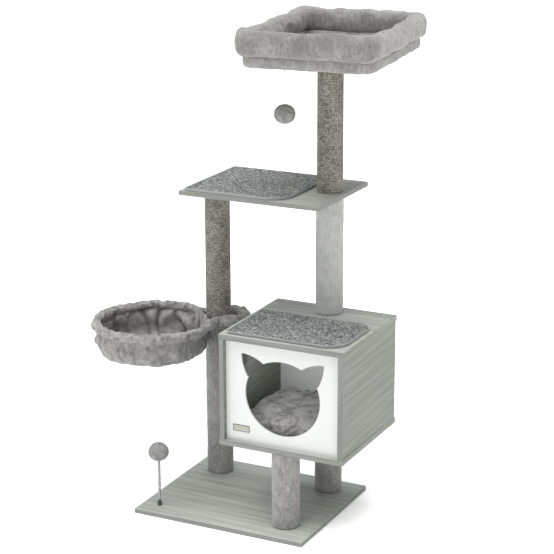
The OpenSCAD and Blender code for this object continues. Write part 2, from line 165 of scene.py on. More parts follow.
class Dye:
    """A material that is being made: its nodes and its shader."""

    def __init__(self, name: str, roughness: float, **fixed: float) -> None:
        """Starts a material.

        Args:
            name: the material's name.
            roughness: the shader's plain roughness.
            fixed: other shader sockets by name, with _ for a space.
        """
        self.material = bpy.data.materials.new(name)
        self.material.use_nodes = True
        self.tree = self.material.node_tree
        self.shader = self.tree.nodes["Principled BSDF"]
        self.shader.inputs["Roughness"].default_value = roughness
        for socket, value in fixed.items():
            self.shader.inputs[socket.replace("_", " ")].default_value = value

    def node(self, kind: str, settings: dict | None = None, out: str | int = 0, **sockets: object) -> Wire:
        """Adds a node.

        Args:
            kind: the node's type, without ShaderNode.
            settings: its attributes, set first.
            out: the name or the number of the output that is wanted.
            sockets: the values or wires of its inputs, with _ for a space.

        Returns:
            The wire of that output.
        """
        made = self.tree.nodes.new("ShaderNode" + kind)
        for name, value in (settings or {}).items():
            setattr(made, name, value)
        for name, value in sockets.items():
            plug(self.tree, made.inputs[name.replace("_", " ")], value)
        return Wire(self.tree, made.outputs[out])

    def places(self, stretch: Point = (1, 1, 1)) -> Wire:
        """Object coordinates, with so many pattern units to a metre along each axis."""
        return self.node("Mapping", Vector=self.node("TexCoord", out="Object"), Scale=stretch)

    def cloud(self, places: Wire, scale: float, detail: float = 2.0, distortion: float = 0.0) -> Wire:
        """Noise from 0 to 1 over the coordinates."""
        return self.node("TexNoise", Vector=places, Scale=scale, Detail=detail, Distortion=distortion)

    def grains(self, places: Wire, scale: float, out: str = "Distance") -> Wire:
        """Cells over the coordinates: the distance from their middles, or their colour."""
        return self.node("TexVoronoi", out=out, Vector=places, Scale=scale)

    def attribute(self, name: str) -> Wire:
        """A number that the mesh keeps for each vertex."""
        return self.node("Attribute", {"attribute_name": name}, out="Fac")

    def mix(self, share: Wire | float, low: Wire | Paint, high: Wire | Paint) -> Wire:
        """Mixes two colours.

        Args:
            share: how much of the second, from 0 to 1.
            low: the first colour or wire.
            high: the second colour or wire.

        Returns:
            The wire of the mixed colour.
        """
        made = self.tree.nodes.new("ShaderNodeMix")
        made.data_type = "RGBA"
        for place, value in ((0, share), (6, low), (7, high)):
            plug(self.tree, made.inputs[place], value)
        return Wire(self.tree, made.outputs[2])

    def dress(self, colour: Wire, height: Wire, depth: float, rough: Wire | None = None) -> Material:
        """Links the finished wires to the shader.

        Args:
            colour: the base colour.
            height: the relief, from 0 to 1.
            depth: how many metres the relief stands for.
            rough: the roughness, where it changes over the surface.

        Returns:
            The material.
        """
        plug(self.tree, self.shader.inputs["Base Color"], colour)
        plug(self.tree, self.shader.inputs["Normal"], self.node("Bump", Strength=1.0, Distance=depth, Height=height))
        if rough is not None:
            plug(self.tree, self.shader.inputs["Roughness"], rough)
        return self.material


class Grain(Enum):
    """Which way a board's grain runs."""

    ALONG_X = (0.0, 0.0)
    ALONG_Y = (0.0, math.pi / 2)
    UPRIGHT = (math.pi / 2, 0.0)


@dataclass(frozen=True)
class Laminate:
    """Grey wood-grain paper over chipboard."""

    name: str
    grain: Grain
    light: Paint = tone(177, 182, 175)
    dark: Paint = tone(136, 142, 134)

    def material(self) -> Material:
        """Returns the material: long streaks, fine pores and a slow drift of tone."""
        dye = Dye(self.name, 0.5)
        tilt, turn = self.grain.value
        where = dye.node("Mapping", Vector=dye.node("TexCoord", out="Object"), Rotation=(0, tilt, turn))
        long_way = dye.node("Mapping", Vector=where, Scale=(1.6, 42, 42))
        fine_way = dye.node("Mapping", Vector=where, Scale=(7, 330, 330))
        streaks = dye.cloud(long_way, 1.6, 5.0, 0.9)
        veins = dye.node("TexWave", {"bands_direction": "DIAGONAL"}, Vector=long_way, Scale=0.55,
                         Distortion=5.5, Detail=3.0, Detail_Scale=1.4)
        pores = dye.cloud(fine_way, 1.0, 3.0)
        drift = dye.cloud(where, 5.0, 1.0)
        share = streaks.over(0.25, 0.78) * 0.58 + veins.over(0.1, 1.0) * 0.22 + (drift - 0.5) * 0.3 + 0.1
        colour = dye.mix(share - pores.over(0.60, 0.78) * 0.30, self.dark, self.light)
        rough = 0.42 + pores * 0.16
        return dye.dress(colour, streaks * 0.35 + pores * 0.65, 0.00022, rough)


@dataclass(frozen=True)
class WhiteBoard:
    """Thin white-faced hardboard."""

    name: str = "white_board_face"
    light: Paint = tone(208, 211, 208)
    dark: Paint = tone(202, 205, 201)

    def material(self) -> Material:
        """Returns the material: white with a faint orange-peel relief."""
        dye = Dye(self.name, 0.42)
        places = dye.places()
        cast = dye.cloud(places, 9.0, 2.0)
        peel = dye.cloud(places, 700.0, 1.0)
        colour = dye.mix(cast, self.dark, self.light)
        return dye.dress(colour, peel, 0.00006, 0.36 + cast * 0.12)


@dataclass(frozen=True)
class Plush:
    """Short-pile plush whose nap lies in lighter and darker patches."""

    name: str
    light: Paint
    dark: Paint
    patch: float = 34.0
    # crease is the colour of painted shade, mixed in where a piece stores painted shade per vertex.
    crease: Paint = tone(58, 57, 56)

    def material(self) -> Material:
        """Returns the material: patches of nap over a fine pile, mixed towards the crease colour where a piece stores
        painted shade.
        """
        dye = Dye(self.name, 0.95, Sheen_Weight=0.35, Sheen_Roughness=0.45, Specular_IOR_Level=0.12)
        places = dye.places()
        nap = dye.cloud(places, self.patch, 3.0, 0.7)
        brushed = dye.cloud(places, self.patch * 6, 3.0, 1.2)
        pile = dye.cloud(places, 900.0, 2.0)
        tufts = dye.grains(places, 520.0)
        lying = dye.cloud(dye.places((260, 260, 45)), 1.0, 3.0, 0.5)
        share = nap.over(0.2, 0.8) * 0.26
        for layer, part in ((brushed, 0.24), (lying, 0.26), (pile, 0.24)):
            share = share + layer.over(0.25, 0.75) * part
        lit = dye.mix(share, self.dark, self.light)
        # Painted shade: the stored attribute darkens the colour towards the crease colour.
        colour = dye.mix(dye.attribute("hollow") * 0.8, lit, self.crease)
        height = brushed * 0.5 + pile * 0.3 + (1 - tufts.over(0.0, 0.6)) * 0.2
        return dye.dress(colour, height, 0.0018)


@dataclass(frozen=True)
class Carpet:
    """Speckled loop carpet."""

    name: str = "carpet_loops"

    def material(self) -> Material:
        """Returns the material: dark and light loops in a random mix."""
        dye = Dye(self.name, 0.95, Sheen_Weight=0.2, Specular_IOR_Level=0.15)
        places = dye.places()
        warped = dye.node("VectorMath", {"operation": "MULTIPLY_ADD"}, **{
            "Vector": dye.node("TexNoise", out="Color", Vector=places, Scale=90.0, Detail=2.0)})
        warped.socket.node.inputs[1].default_value = (0.006, 0.006, 0.006)
        dye.tree.links.new(places.socket, warped.socket.node.inputs[2])
        loops = dye.grains(warped, 250.0)
        shade = dye.node("SeparateColor", out=0, Color=dye.grains(warped, 250.0, "Color"))
        clumps = dye.cloud(places, 160.0, 2.0)
        share = shade.over(0.15, 0.95) * 0.75 + (clumps - 0.5) * 0.9
        speckled = dye.mix(share, tone(68, 73, 72), tone(186, 190, 187))
        colour = dye.mix(loops.over(0.25, 0.85) * 0.55, speckled, tone(56, 60, 59))
        return dye.dress(colour, 1 - loops.over(0.0, 0.8), 0.0018)


@dataclass(frozen=True)
class Binding:
    """Overlocked edge yarn, laid side by side."""

    name: str = "edge_yarn"

    def material(self) -> Material:
        """Returns the material: fine yarns across the edge."""
        dye = Dye(self.name, 0.85, Sheen_Weight=0.2)
        along = dye.attribute("along")
        yarns = (along * (2 * math.pi / 0.0016)).sine() * 0.5 + 0.5
        cast = dye.cloud(dye.places(), 220.0, 2.0)
        colour = dye.mix(yarns * 0.6 + cast * 0.5, tone(112, 118, 117), tone(160, 165, 163))
        return dye.dress(colour, yarns, 0.0004)


@dataclass(frozen=True)
class Rope:
    """Three-strand natural-fibre rope, dyed grey."""

    name: str = "wound_rope"
    lay: float = 14 * MM
    strands: int = 3

    def material(self) -> Material:
        """Returns the material: strands that turn round the rope, with loose fibre, and painted shade in the grooves
        between turns.
        """
        dye = Dye(self.name, 0.88, Specular_IOR_Level=0.2)
        along, around = dye.attribute("along"), dye.attribute("around")
        turn = around * (self.strands / 2) + along * (math.pi * self.strands / self.lay)
        strand = turn.sine().size()
        places = dye.places()
        fibre = dye.cloud(dye.node("Mapping", Vector=places, Scale=(1, 1, 3)), 700.0, 3.0)
        weather = dye.cloud(places, 28.0, 3.0)
        flecks = dye.cloud(places, 190.0, 3.0)
        # Painted shade: the colour darkens towards the rope's inner side, in the groove between one turn and the next.
        groove_shade = (1 - around.math("COSINE")).over(0.25, 1.1)
        twist = strand.over(0.05, 0.85) * 0.5 + fibre.over(0.3, 0.7) * 0.35
        share = twist + (weather - 0.4) * 0.7 + (flecks - 0.5) * 1.6 - groove_shade * 0.8
        colour = dye.mix(share, tone(36, 34, 31), tone(184, 182, 171))
        return dye.dress(colour, strand * 0.75 + fibre * 0.25, 0.0009)


@dataclass(frozen=True)
class Metal:
    """Bare or plated metal with fine wear."""

    name: str
    colour: Paint
    roughness: float = 0.32

    def material(self) -> Material:
        """Returns the material: brushed lines and a patchy shine."""
        dye = Dye(self.name, self.roughness, Metallic=0.9)
        wear = dye.cloud(dye.places(), 90.0, 3.0)
        lines = dye.cloud(dye.places((60, 60, 1500)), 1.0, 2.0)
        colour = dye.mix(wear * 0.3, self.colour, tone(120, 120, 118))
        return dye.dress(colour, lines, 0.00004, self.roughness + (wear - 0.5) * 0.25)


@dataclass(frozen=True)
class Plain:
    """A mottled matt material: card, raw timber, moulded plastic or cord."""

    name: str
    light: Paint
    dark: Paint
    stretch: Point = (60, 60, 60)
    roughness: float = 0.8
    relief: float = 0.0002

    def material(self) -> Material:
        """Returns the material: stretched mottling with a shallow relief."""
        dye = Dye(self.name, self.roughness)
        mottle = dye.cloud(dye.places(self.stretch), 1.0, 4.0, 0.4)
        fine = dye.cloud(dye.places(), 900.0, 1.0)
        colour = dye.mix(mottle.over(0.3, 0.7) * 0.8 + fine * 0.2, self.dark, self.light)
        return dye.dress(colour, mottle * 0.5 + fine * 0.5, self.relief)


class Finishes:
    """Every finish of the cat tree, made once."""

    def __init__(self) -> None:
        """Makes the materials."""
        # Painted shade: the boards' sides, ends and front edges take darker tones of the same laminate than the tops,
        # as if less lit.
        edge = tone(133, 137, 131), tone(103, 108, 101)
        self.boards_x = Laminate("laminate_along_x", Grain.ALONG_X).material()
        self.boards_y_shaded = Laminate("laminate_along_y_shaded", Grain.ALONG_Y, tone(133, 138, 129), tone(94, 100, 91)).material()
        self.boards_up_shaded = Laminate("laminate_upright_shaded", Grain.UPRIGHT, *edge).material()
        self.boards_edge_shaded = Laminate("laminate_edge_shaded", Grain.ALONG_X, *edge).material()
        self.white = WhiteBoard().material()
        self.grey_plush = Plush("grey_plush_pile", tone(178, 177, 174), tone(82, 81, 79)).material()
        self.pale_plush = Plush("pale_plush_pile", tone(203, 204, 202), tone(146, 147, 146)).material()
        self.carpet = Carpet().material()
        self.binding = Binding().material()
        self.rope = Rope().material()
        self.zinc = Metal("zinc_steel_face", tone(190, 191, 190)).material()
        self.spring = Metal("spring_steel_face", tone(205, 206, 206), 0.25).material()
        self.label = Metal("label_metal_face", tone(168, 166, 156), 0.42).material()
        self.label_rim = Metal("label_rim_face", tone(92, 90, 84), 0.5).material()
        self.card = Plain("cardboard_core", tone(186, 158, 118), tone(150, 124, 90), (30, 30, 200)).material()
        self.timber = Plain("raw_timber", tone(214, 188, 146), tone(176, 146, 104), (4, 90, 90)).material()
        dull = (60, 60, 60), 0.45, 5e-5
        self.plastic = Plain("black_plastic_face", tone(84, 85, 84), tone(64, 65, 64), *dull).material()
        self.cord = Plain("white_cord_twist", tone(178, 178, 176), tone(132, 132, 130), (900, 900, 500)).material()


# Mesh making ----------------------------------------------------------------


def settle(shape: Shape, name: str, smooth: bool = True) -> Object:
    """Turns a finished bmesh into an object at the origin.

    Args:
        shape: the mesh, with its place in its vertices.
        name: the piece's name.
        smooth: whether its faces are shaded smooth.

    Returns:
        The object, linked to the scene.
    """
    mesh = bpy.data.meshes.new(name)
    shape.to_mesh(mesh)
    shape.free()
    mesh.polygons.foreach_set("use_smooth", [smooth] * len(mesh.polygons))
    made = bpy.data.objects.new(name, mesh)
    bpy.context.scene.collection.objects.link(made)
    return made


def fit(piece: Object, finish: Material, body: str, stands_for: str = "") -> Object:
    """Gives a piece its finish and its place in the frame.

    Args:
        piece: the finished piece.
        finish: its material.
        body: the body that it rides on.
        stands_for: the CAD node that it replaces, if there is one.

    Returns:
        The piece.
    """
    piece.data.materials.append(finish)
    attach(piece, body)
    if stands_for:
        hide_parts(stands_for)
    log.info("%s: %d vertices on %s", piece.name, len(piece.data.vertices), body)
    return piece


def subdivide(piece: Object) -> None:
    """Adds one level of subdivision surface, the same in the view and in the render."""
    smooth = piece.modifiers.new("Subdivision", "SUBSURF")
    smooth.levels = smooth.render_levels = 1


def standing(at: Point | Vector, heading: float) -> Matrix:
    """The place of an upright section that faces along a heading."""
    upright = Matrix.Rotation(math.pi / 2, 4, "X") @ Matrix.Rotation(math.pi / 2, 4, "Y")
    return Matrix.Translation(at) @ Matrix.Rotation(heading, 4, "Z") @ upright


def ring_of(shape: Shape, points: Iterable[Vector]) -> list[bmesh.types.BMEdge]:
    """Adds a closed loop of edges through the points."""
    corners = [shape.verts.new(p) for p in points]
    return [shape.edges.new((a, b)) for a, b in zip(corners, corners[1:] + corners[:1])]


def sweep(section: Sequence[Vector], stops: Sequence[Matrix], closed: bool) -> Shape:
    """Carries a closed section along a row of places.

    Args:
        section: the section's points in its own XY plane.
        stops: the places of the section, one after another.
        closed: whether the last place meets the first.

    Returns:
        The swept tube, closed by its ends or on itself.
    """
    shape = bmesh.new()
    first = ring = ring_of(shape, [stops[0] @ p for p in section])
    path = [*stops, stops[0]] if closed else list(stops)
    for here, there in zip(path, path[1:]):
        grown = bmesh.ops.extrude_edge_only(shape, edges=ring)["geom"]
        moved = {g for g in grown if isinstance(g, bmesh.types.BMVert)}
        ring = [g for g in grown if isinstance(g, bmesh.types.BMEdge) and set(g.verts) <= moved]
        bmesh.ops.transform(shape, matrix=there @ here.inverted(), verts=list(moved))
    if closed:
        bmesh.ops.remove_doubles(shape, verts=shape.verts, dist=JOIN)
    else:
        bmesh.ops.edgeloop_fill(shape, edges=first)
        bmesh.ops.edgeloop_fill(shape, edges=ring)
    bmesh.ops.recalc_face_normals(shape, faces=shape.faces)
    return shape


def oval(half_w: float, half_h: float, sides: int, squareness: float = 2.0) -> list[Vector]:
    """A closed section between an ellipse, at 2, and a rectangle, at more."""
    def bent(value: float) -> float:
        """A sine or cosine, pushed towards the section's corner."""
        return math.copysign(abs(value) ** (2 / squareness), value)

    angles = [2 * math.pi * (i + 0.5) / sides for i in range(sides)]
    return [Vector((half_w * bent(math.cos(a)), half_h * bent(math.sin(a)), 0)) for a in angles]


def lathe(profile: Sequence[tuple[float, float]], centre: Point, steps: int, closed: bool = True) -> Shape:
    """Turns a profile about an upright axis.

    Args:
        profile: its points as radius and height.
        centre: the axis and the height of the profile's zero.
        steps: how many steps one turn has.
        closed: whether the profile's last point joins its first.

    Returns:
        The turned shape.
    """
    shape = bmesh.new()
    corners = [shape.verts.new((centre[0] + r, centre[1], centre[2] + z)) for r, z in profile]
    pairs = list(zip(corners, corners[1:])) + ([(corners[-1], corners[0])] if closed else [])
    edges = [shape.edges.new(pair) for pair in pairs]
    bmesh.ops.spin(shape, geom=corners + edges, cent=centre, axis=UP, angle=2 * math.pi, steps=steps, use_merge=True)
    bmesh.ops.remove_doubles(shape, verts=shape.verts, dist=JOIN)
    bmesh.ops.recalc_face_normals(shape, faces=shape.faces)
    return shape


def ruffle(shape: Shape, layers: Sequence[tuple[float, float]], seed: float) -> None:
    """Moves each vertex along its normal by smooth noise.

    Args:
        shape: the mesh.
        layers: the width and the height of each layer of noise, in metres.
        seed: which part of the noise is used.
    """
    shape.normal_update()
    shift = Vector((seed, seed * 1.7, -seed))
    for v in shape.verts:
        v.co += v.normal * sum(h * noise.noise(v.co / w + shift) for w, h in layers)


def slab(width: float, depth: float, height: float, corner: float, edge: float) -> Shape:
    """A rounded slab about the origin, with its underside at zero.

    Args:
        width: along X.
        depth: along Y.
        height: along Z.
        corner: the radius of its upright edges.
        edge: the radius of its level edges.

    Returns:
        The slab.
    """
    shape = bmesh.new()
    bmesh.ops.create_cube(shape, size=1)
    bmesh.ops.scale(shape, vec=(width, depth, height), verts=shape.verts)
    bmesh.ops.translate(shape, vec=(0, 0, height / 2), verts=shape.verts)
    upright = [e for e in shape.edges if abs((e.verts[0].co - e.verts[1].co).z) > height / 2]
    bmesh.ops.bevel(shape, geom=upright, offset=corner, affect="EDGES", segments=8, profile=0.5, material=-1)
    level = [e for e in shape.edges if e.calc_face_angle(0) > 1.0 and abs((e.verts[0].co - e.verts[1].co).z) < 1e-6]
    bmesh.ops.bevel(shape, geom=level, offset=edge, affect="EDGES", segments=4, profile=0.5, material=-1)
    return shape


def remeshed(shape: Shape, name: str, cell: float) -> Object:
    """An object with an even mesh over the shape's skin.

    Args:
        shape: a closed shape.
        name: the piece's name.
        cell: the width of a face.

    Returns:
        The object, with the voxel remesh applied.
    """
    piece = settle(shape, name)
    even = piece.modifiers.new("Even", "REMESH")
    even.mode, even.voxel_size, even.use_smooth_shade = "VOXEL", cell, True
    return applied(piece)


def applied(piece: Object) -> Object:
    """The piece with its modifiers in its mesh."""
    bpy.context.view_layer.update()
    graph = bpy.context.evaluated_depsgraph_get()
    mesh = bpy.data.meshes.new_from_object(piece.evaluated_get(graph))
    piece.modifiers.clear()
    piece.data = mesh
    mesh.name = piece.name
    mesh.polygons.foreach_set("use_smooth", [True] * len(mesh.polygons))
    return piece


def inflate(piece: Object, pressure: float, slack: float, cap: float) -> None:
    """Blows a closed cloth skin up by simulation and keeps the result.

    Args:
        piece: the closed skin, evenly meshed.
        pressure: the pressure inside.
        slack: how much larger the cloth is than the skin, as a share.
        cap: how far a point may move, in metres.
    """
    start = [v.co.copy() for v in piece.data.vertices]
    cloth = piece.modifiers.new("Cloth", "CLOTH")
    cloth.settings.use_pressure = True
    cloth.settings.uniform_pressure_force = pressure
    cloth.settings.effector_weights.gravity = 0
    cloth.settings.shrink_min = -slack
    cloth.settings.quality = 5
    cloth.settings.bending_stiffness = 0.4
    cloth.point_cache.frame_start, cloth.point_cache.frame_end = 1, SIM_FRAMES
    for number in range(1, SIM_FRAMES + 1):
        bpy.context.scene.frame_set(number)
    applied(piece)
    for v, before in zip(piece.data.vertices, start):
        step = v.co - before
        if step.length > cap:
            v.co = before + step * (cap / step.length)
    bpy.context.scene.frame_set(1)


def reshape(piece: Object, change: Callable[[Shape], None]) -> None:
    """Edits a piece's mesh with a function of its bmesh."""
    shape = bmesh.new()
    shape.from_mesh(piece.data)
    change(shape)
    shape.to_mesh(piece.data)
    shape.free()


def upholster(piece: Object, finish: Material, node: str, change: Callable[[Shape], None]) -> None:
    """Finishes a stuffed piece of the stand.

    Args:
        piece: the piece, in its own even mesh.
        finish: its plush.
        node: the CAD node that it stands for.
        change: what lays its creases.
    """
    reshape(piece, change)
    subdivide(piece)
    fit(piece, finish, "stand", node)


def eased_copy(node: str, name: str, ease: float) -> Object:
    """A copy of a CAD node with its sharp edges eased.

    Args:
        node: the CAD node.
        name: the copy's name.
        ease: the width of the eased edge.

    Returns:
        The copy.
    """
    shape = bmesh.new()
    shape.from_mesh(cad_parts[node].data)
    bmesh.ops.remove_doubles(shape, verts=shape.verts, dist=1e-6)
    bmesh.ops.dissolve_limit(shape, angle_limit=math.radians(1), verts=shape.verts, edges=shape.edges)
    piece = settle(shape, name, smooth=False)
    bevel = piece.modifiers.new("Eased", "BEVEL")
    bevel.width, bevel.segments, bevel.limit_method = ease, 2, "ANGLE"
    bevel.angle_limit = math.radians(40)
    bevel.use_clamp_overlap = True
    return piece


def store(piece: Object, name: str, value: Callable[[Vector], float]) -> None:
    """Keeps a number for each vertex under a name that the finish reads."""
    kept = piece.data.attributes.new(name, "FLOAT", "POINT")
    kept.data.foreach_set("value", [value(v.co) for v in piece.data.vertices])


# Camera, floor and light ------------------------------------------------------


@dataclass
class Studio:
    """A pale floor, soft light and the camera."""

    camera_at: Point = (2.00807, -3.88470, 1.92376)
    heading: float = math.radians(26.43)
    tilt: float = math.radians(73.5)
    roll: float = math.radians(-0.17)
    lens: float = 114.4
    floor_side: float = 60.0
    floor_gap: float = 0.2 * MM
    floor_glow: float = 0.18
    top_strength: float = 3.9
    surroundings: float = 0.45
    middle: Point = (0.05, 0, 0.6)

    def camera(self) -> None:
        """Makes the scene's camera."""
        data = bpy.data.cameras.new("camera")
        data.lens, data.sensor_width = self.lens, 36.0
        data.clip_end = 200.0
        made = bpy.data.objects.new("camera", data)
        turn = Matrix.Rotation(self.heading, 4, "Z") @ Matrix.Rotation(self.tilt, 4, "X")
        made.matrix_world = Matrix.Translation(self.camera_at) @ turn @ Matrix.Rotation(self.roll, 4, "Z")
        bpy.context.scene.collection.objects.link(made)
        bpy.context.scene.camera = made

    def floor(self) -> None:
        """Lays the floor just under the base."""
        shape = bmesh.new()
        bmesh.ops.create_grid(shape, x_segments=1, y_segments=1, size=self.floor_side / 2)
        bmesh.ops.translate(shape, vec=(0, 0, cad_low.z - self.floor_gap), verts=shape.verts)
        made = settle(shape, "floor", smooth=False)
        paint = Plain("floor_paint", tone(252, 252, 252), tone(249, 249, 249), (3, 3, 3)).material()
        shader = paint.node_tree.nodes["Principled BSDF"]
        shader.inputs["Emission Color"].default_value = (1, 1, 1, 1)
        shader.inputs["Emission Strength"].default_value = self.floor_glow
        made.data.materials.append(paint)

    @staticmethod
    def lamp(name: str, at: Point, to: Point, size: float, power: float) -> None:
        """Adds a square lamp that faces a point."""
        data = bpy.data.lights.new(name, "AREA")
        data.size, data.energy = size, power
        made = bpy.data.objects.new(name, data)
        aim = Vector(to) - Vector(at)
        made.matrix_world = Matrix.Translation(at) @ aim.to_track_quat("-Z", "Y").to_matrix().to_4x4()
        bpy.context.scene.collection.objects.link(made)

    def light(self) -> None:
        """Adds the lamps and the pale surroundings."""
        self.lamp("key", (-0.1, -3.1, 2.0), self.middle, 1.2, 17)
        self.lamp("fill", (3.0, 0.6, 2.9), self.middle, 1.4, 13)
        self.lamp("cabin_glow", (0.07, -0.07, 0.44), (0.27, 0.18, 0.34), 0.08, 0.34)
        sky = bpy.data.lights.new("top_light", "SUN")
        sky.energy, sky.angle = self.top_strength, math.radians(60)
        made = bpy.data.objects.new("top_light", sky)
        made.rotation_euler = Euler((math.radians(8), math.radians(-6), 0))
        bpy.context.scene.collection.objects.link(made)
        world = bpy.data.worlds.new("surroundings")
        world.use_nodes = True
        world.node_tree.nodes["Background"].inputs["Color"].default_value = (1, 1, 1, 1)
        world.node_tree.nodes["Background"].inputs["Strength"].default_value = self.surroundings
        bpy.context.scene.world = world
        bpy.context.scene.view_settings.view_transform = "Standard"

    def build(self) -> None:
        """Makes the camera, the floor and the light."""
        self.camera()
        self.floor()
        self.light()


# The hanging toy --------------------------------------------------------------


@dataclass
class HangingToy:
    """A plush ball on a short cord from an eye under the bed."""

    finishes: Finishes
    cord_width: float = 1.6 * MM
    ball_radius: float = 26 * MM
    ball_at: Point = (100 * MM, 0, 1066 * MM)
    bed_under: float = 1192 * MM
    cord_x: float = 100 * MM
    cord_drop: tuple[float, ...] = (*range(19, 104, 6), 107)

    def cord(self) -> None:
        """Makes the cord as a curve along its route."""
        data = bpy.data.curves.new("toy_cord_line", "CURVE")
        data.dimensions = "3D"
        data.bevel_depth = self.cord_width / 2
        data.bevel_resolution = 2
        data.use_fill_caps = True
        line = data.splines.new("POLY")
        line.points.add(len(self.cord_drop) - 1)
        for point, drop in zip(line.points, self.cord_drop):
            point.co = (self.cord_x, 0, self.bed_under - drop * MM, 1)
        made = bpy.data.objects.new("toy_cord_line", data)
        bpy.context.scene.collection.objects.link(made)
        data.materials.append(self.finishes.cord)
        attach(made, "hanging_toy")
        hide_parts("toy_cord")
        ball = PlushBall(self.finishes, "toy_ball_pile", self.ball_at, self.ball_radius, "hanging_toy", "toy_ball")
        ball.build()


@dataclass
class PlushBall:
    """A stuffed ball with a short shaggy pile."""

    finishes: Finishes
    name: str
    centre: Point
    radius: float
    body: str
    node: str
    tuft_count: int = 900
    tuft_length: float = 3.2 * MM
    tuft_width: float = 1.3 * MM
    tuft_root: float = 0.6 * MM
    tuft_lean: float = 0.45
    pile_depth: float = 0.9 * MM
    shade_depth: float = 3.2 * MM
    oval: Point = (1.02, 1.02, 0.93)

    def build(self) -> Object:
        """Makes the ball and its tufts.

        Returns:
            The piece.
        """
        shape = bmesh.new()
        core = self.radius - self.pile_depth
        bmesh.ops.create_icosphere(shape, subdivisions=5, radius=core)
        ruffle(shape, ((11 * MM, 0.9 * MM), (4 * MM, 0.7 * MM)), self.radius * 100)
        golden = math.pi * (3 - math.sqrt(5))
        for i in range(self.tuft_count):
            z = 1 - 2 * (i + 0.5) / self.tuft_count
            level = math.sqrt(1 - z * z)
            out = Vector((level * math.cos(golden * i), level * math.sin(golden * i), z))
            lean = out + self.tuft_lean * noise.noise_vector(out * 7.0)
            lying = lean.to_track_quat("Z", "Y").to_matrix().to_4x4() @ Matrix.Translation((0, 0, self.tuft_length / 2))
            place = Matrix.Translation(out * (core - self.tuft_root)) @ lying
            bmesh.ops.create_cone(shape, segments=4, cap_ends=True, cap_tris=True, radius1=self.tuft_width,
                                  radius2=self.tuft_width / 5, depth=self.tuft_length, matrix=place)
        flattened = Matrix.Translation(self.centre) @ Matrix.Diagonal((*self.oval, 1))
        bmesh.ops.transform(shape, matrix=flattened, verts=shape.verts)
        piece = settle(shape, self.name)
        round_again = flattened.inverted()
        rim = self.radius + 0.4 * MM
        # Painted shade: darker towards the ball's core, among the roots of the tufts.
        store(piece, "hollow", lambda p: min(1.0, max(0.0, (rim - (round_again @ p).length) / self.shade_depth)))
        fit(piece, self.finishes.pale_plush, self.body, self.node)
        return piece


# Posts --------------------------------------------------------------------------


@dataclass
class Thread:
    """A rope or a wire that is wound about an upright axis."""

    half: float
    reach: float
    sides: int
    turn_steps: int

    def turn(self, shape: Shape, start: Point, climb: float) -> None:
        """Adds one turn.

        Args:
            shape: the mesh that it goes in.
            start: the axis at the height where the turn starts.
            climb: how far the turn rises.
        """
        angles = [2 * math.pi * (i + 0.5) / self.sides for i in range(self.sides)]
        middle = Vector(start) + Vector((self.reach, 0, 0))
        edges = ring_of(shape, [middle + self.half * Vector((math.cos(a), 0, math.sin(a))) for a in angles])
        corners = list({v for e in edges for v in e.verts})
        bmesh.ops.spin(shape, geom=corners + edges, cent=start, axis=UP, dvec=(0, 0, climb / self.turn_steps),
                       angle=2 * math.pi, steps=self.turn_steps, use_merge=climb == 0)
        bmesh.ops.recalc_face_normals(shape, faces=shape.faces)

    def wound(self, name: str, start: Point, pitch: float, count: int) -> Object:
        """Makes climbing turns, as one turn that is repeated and joined.

        Args:
            name: the piece's name.
            start: the axis at the height where the winding starts.
            pitch: how far a turn rises.
            count: the number of turns.

        Returns:
            The piece, with its ends closed.
        """
        shape = bmesh.new()
        self.turn(shape, start, pitch)
        piece = settle(shape, name)
        rows = piece.modifiers.new("Rows", "ARRAY")
        rows.count, rows.use_relative_offset, rows.use_constant_offset = count, False, True
        rows.constant_offset_displace = (0, 0, pitch)
        rows.use_merge_vertices, rows.merge_threshold = True, 3e-5
        applied(piece)

        def close(mesh: Shape) -> None:
            """Fills the two ends."""
            bmesh.ops.holes_fill(mesh, edges=[e for e in mesh.edges if e.is_boundary], sides=self.sides)

        reshape(piece, close)
        return piece


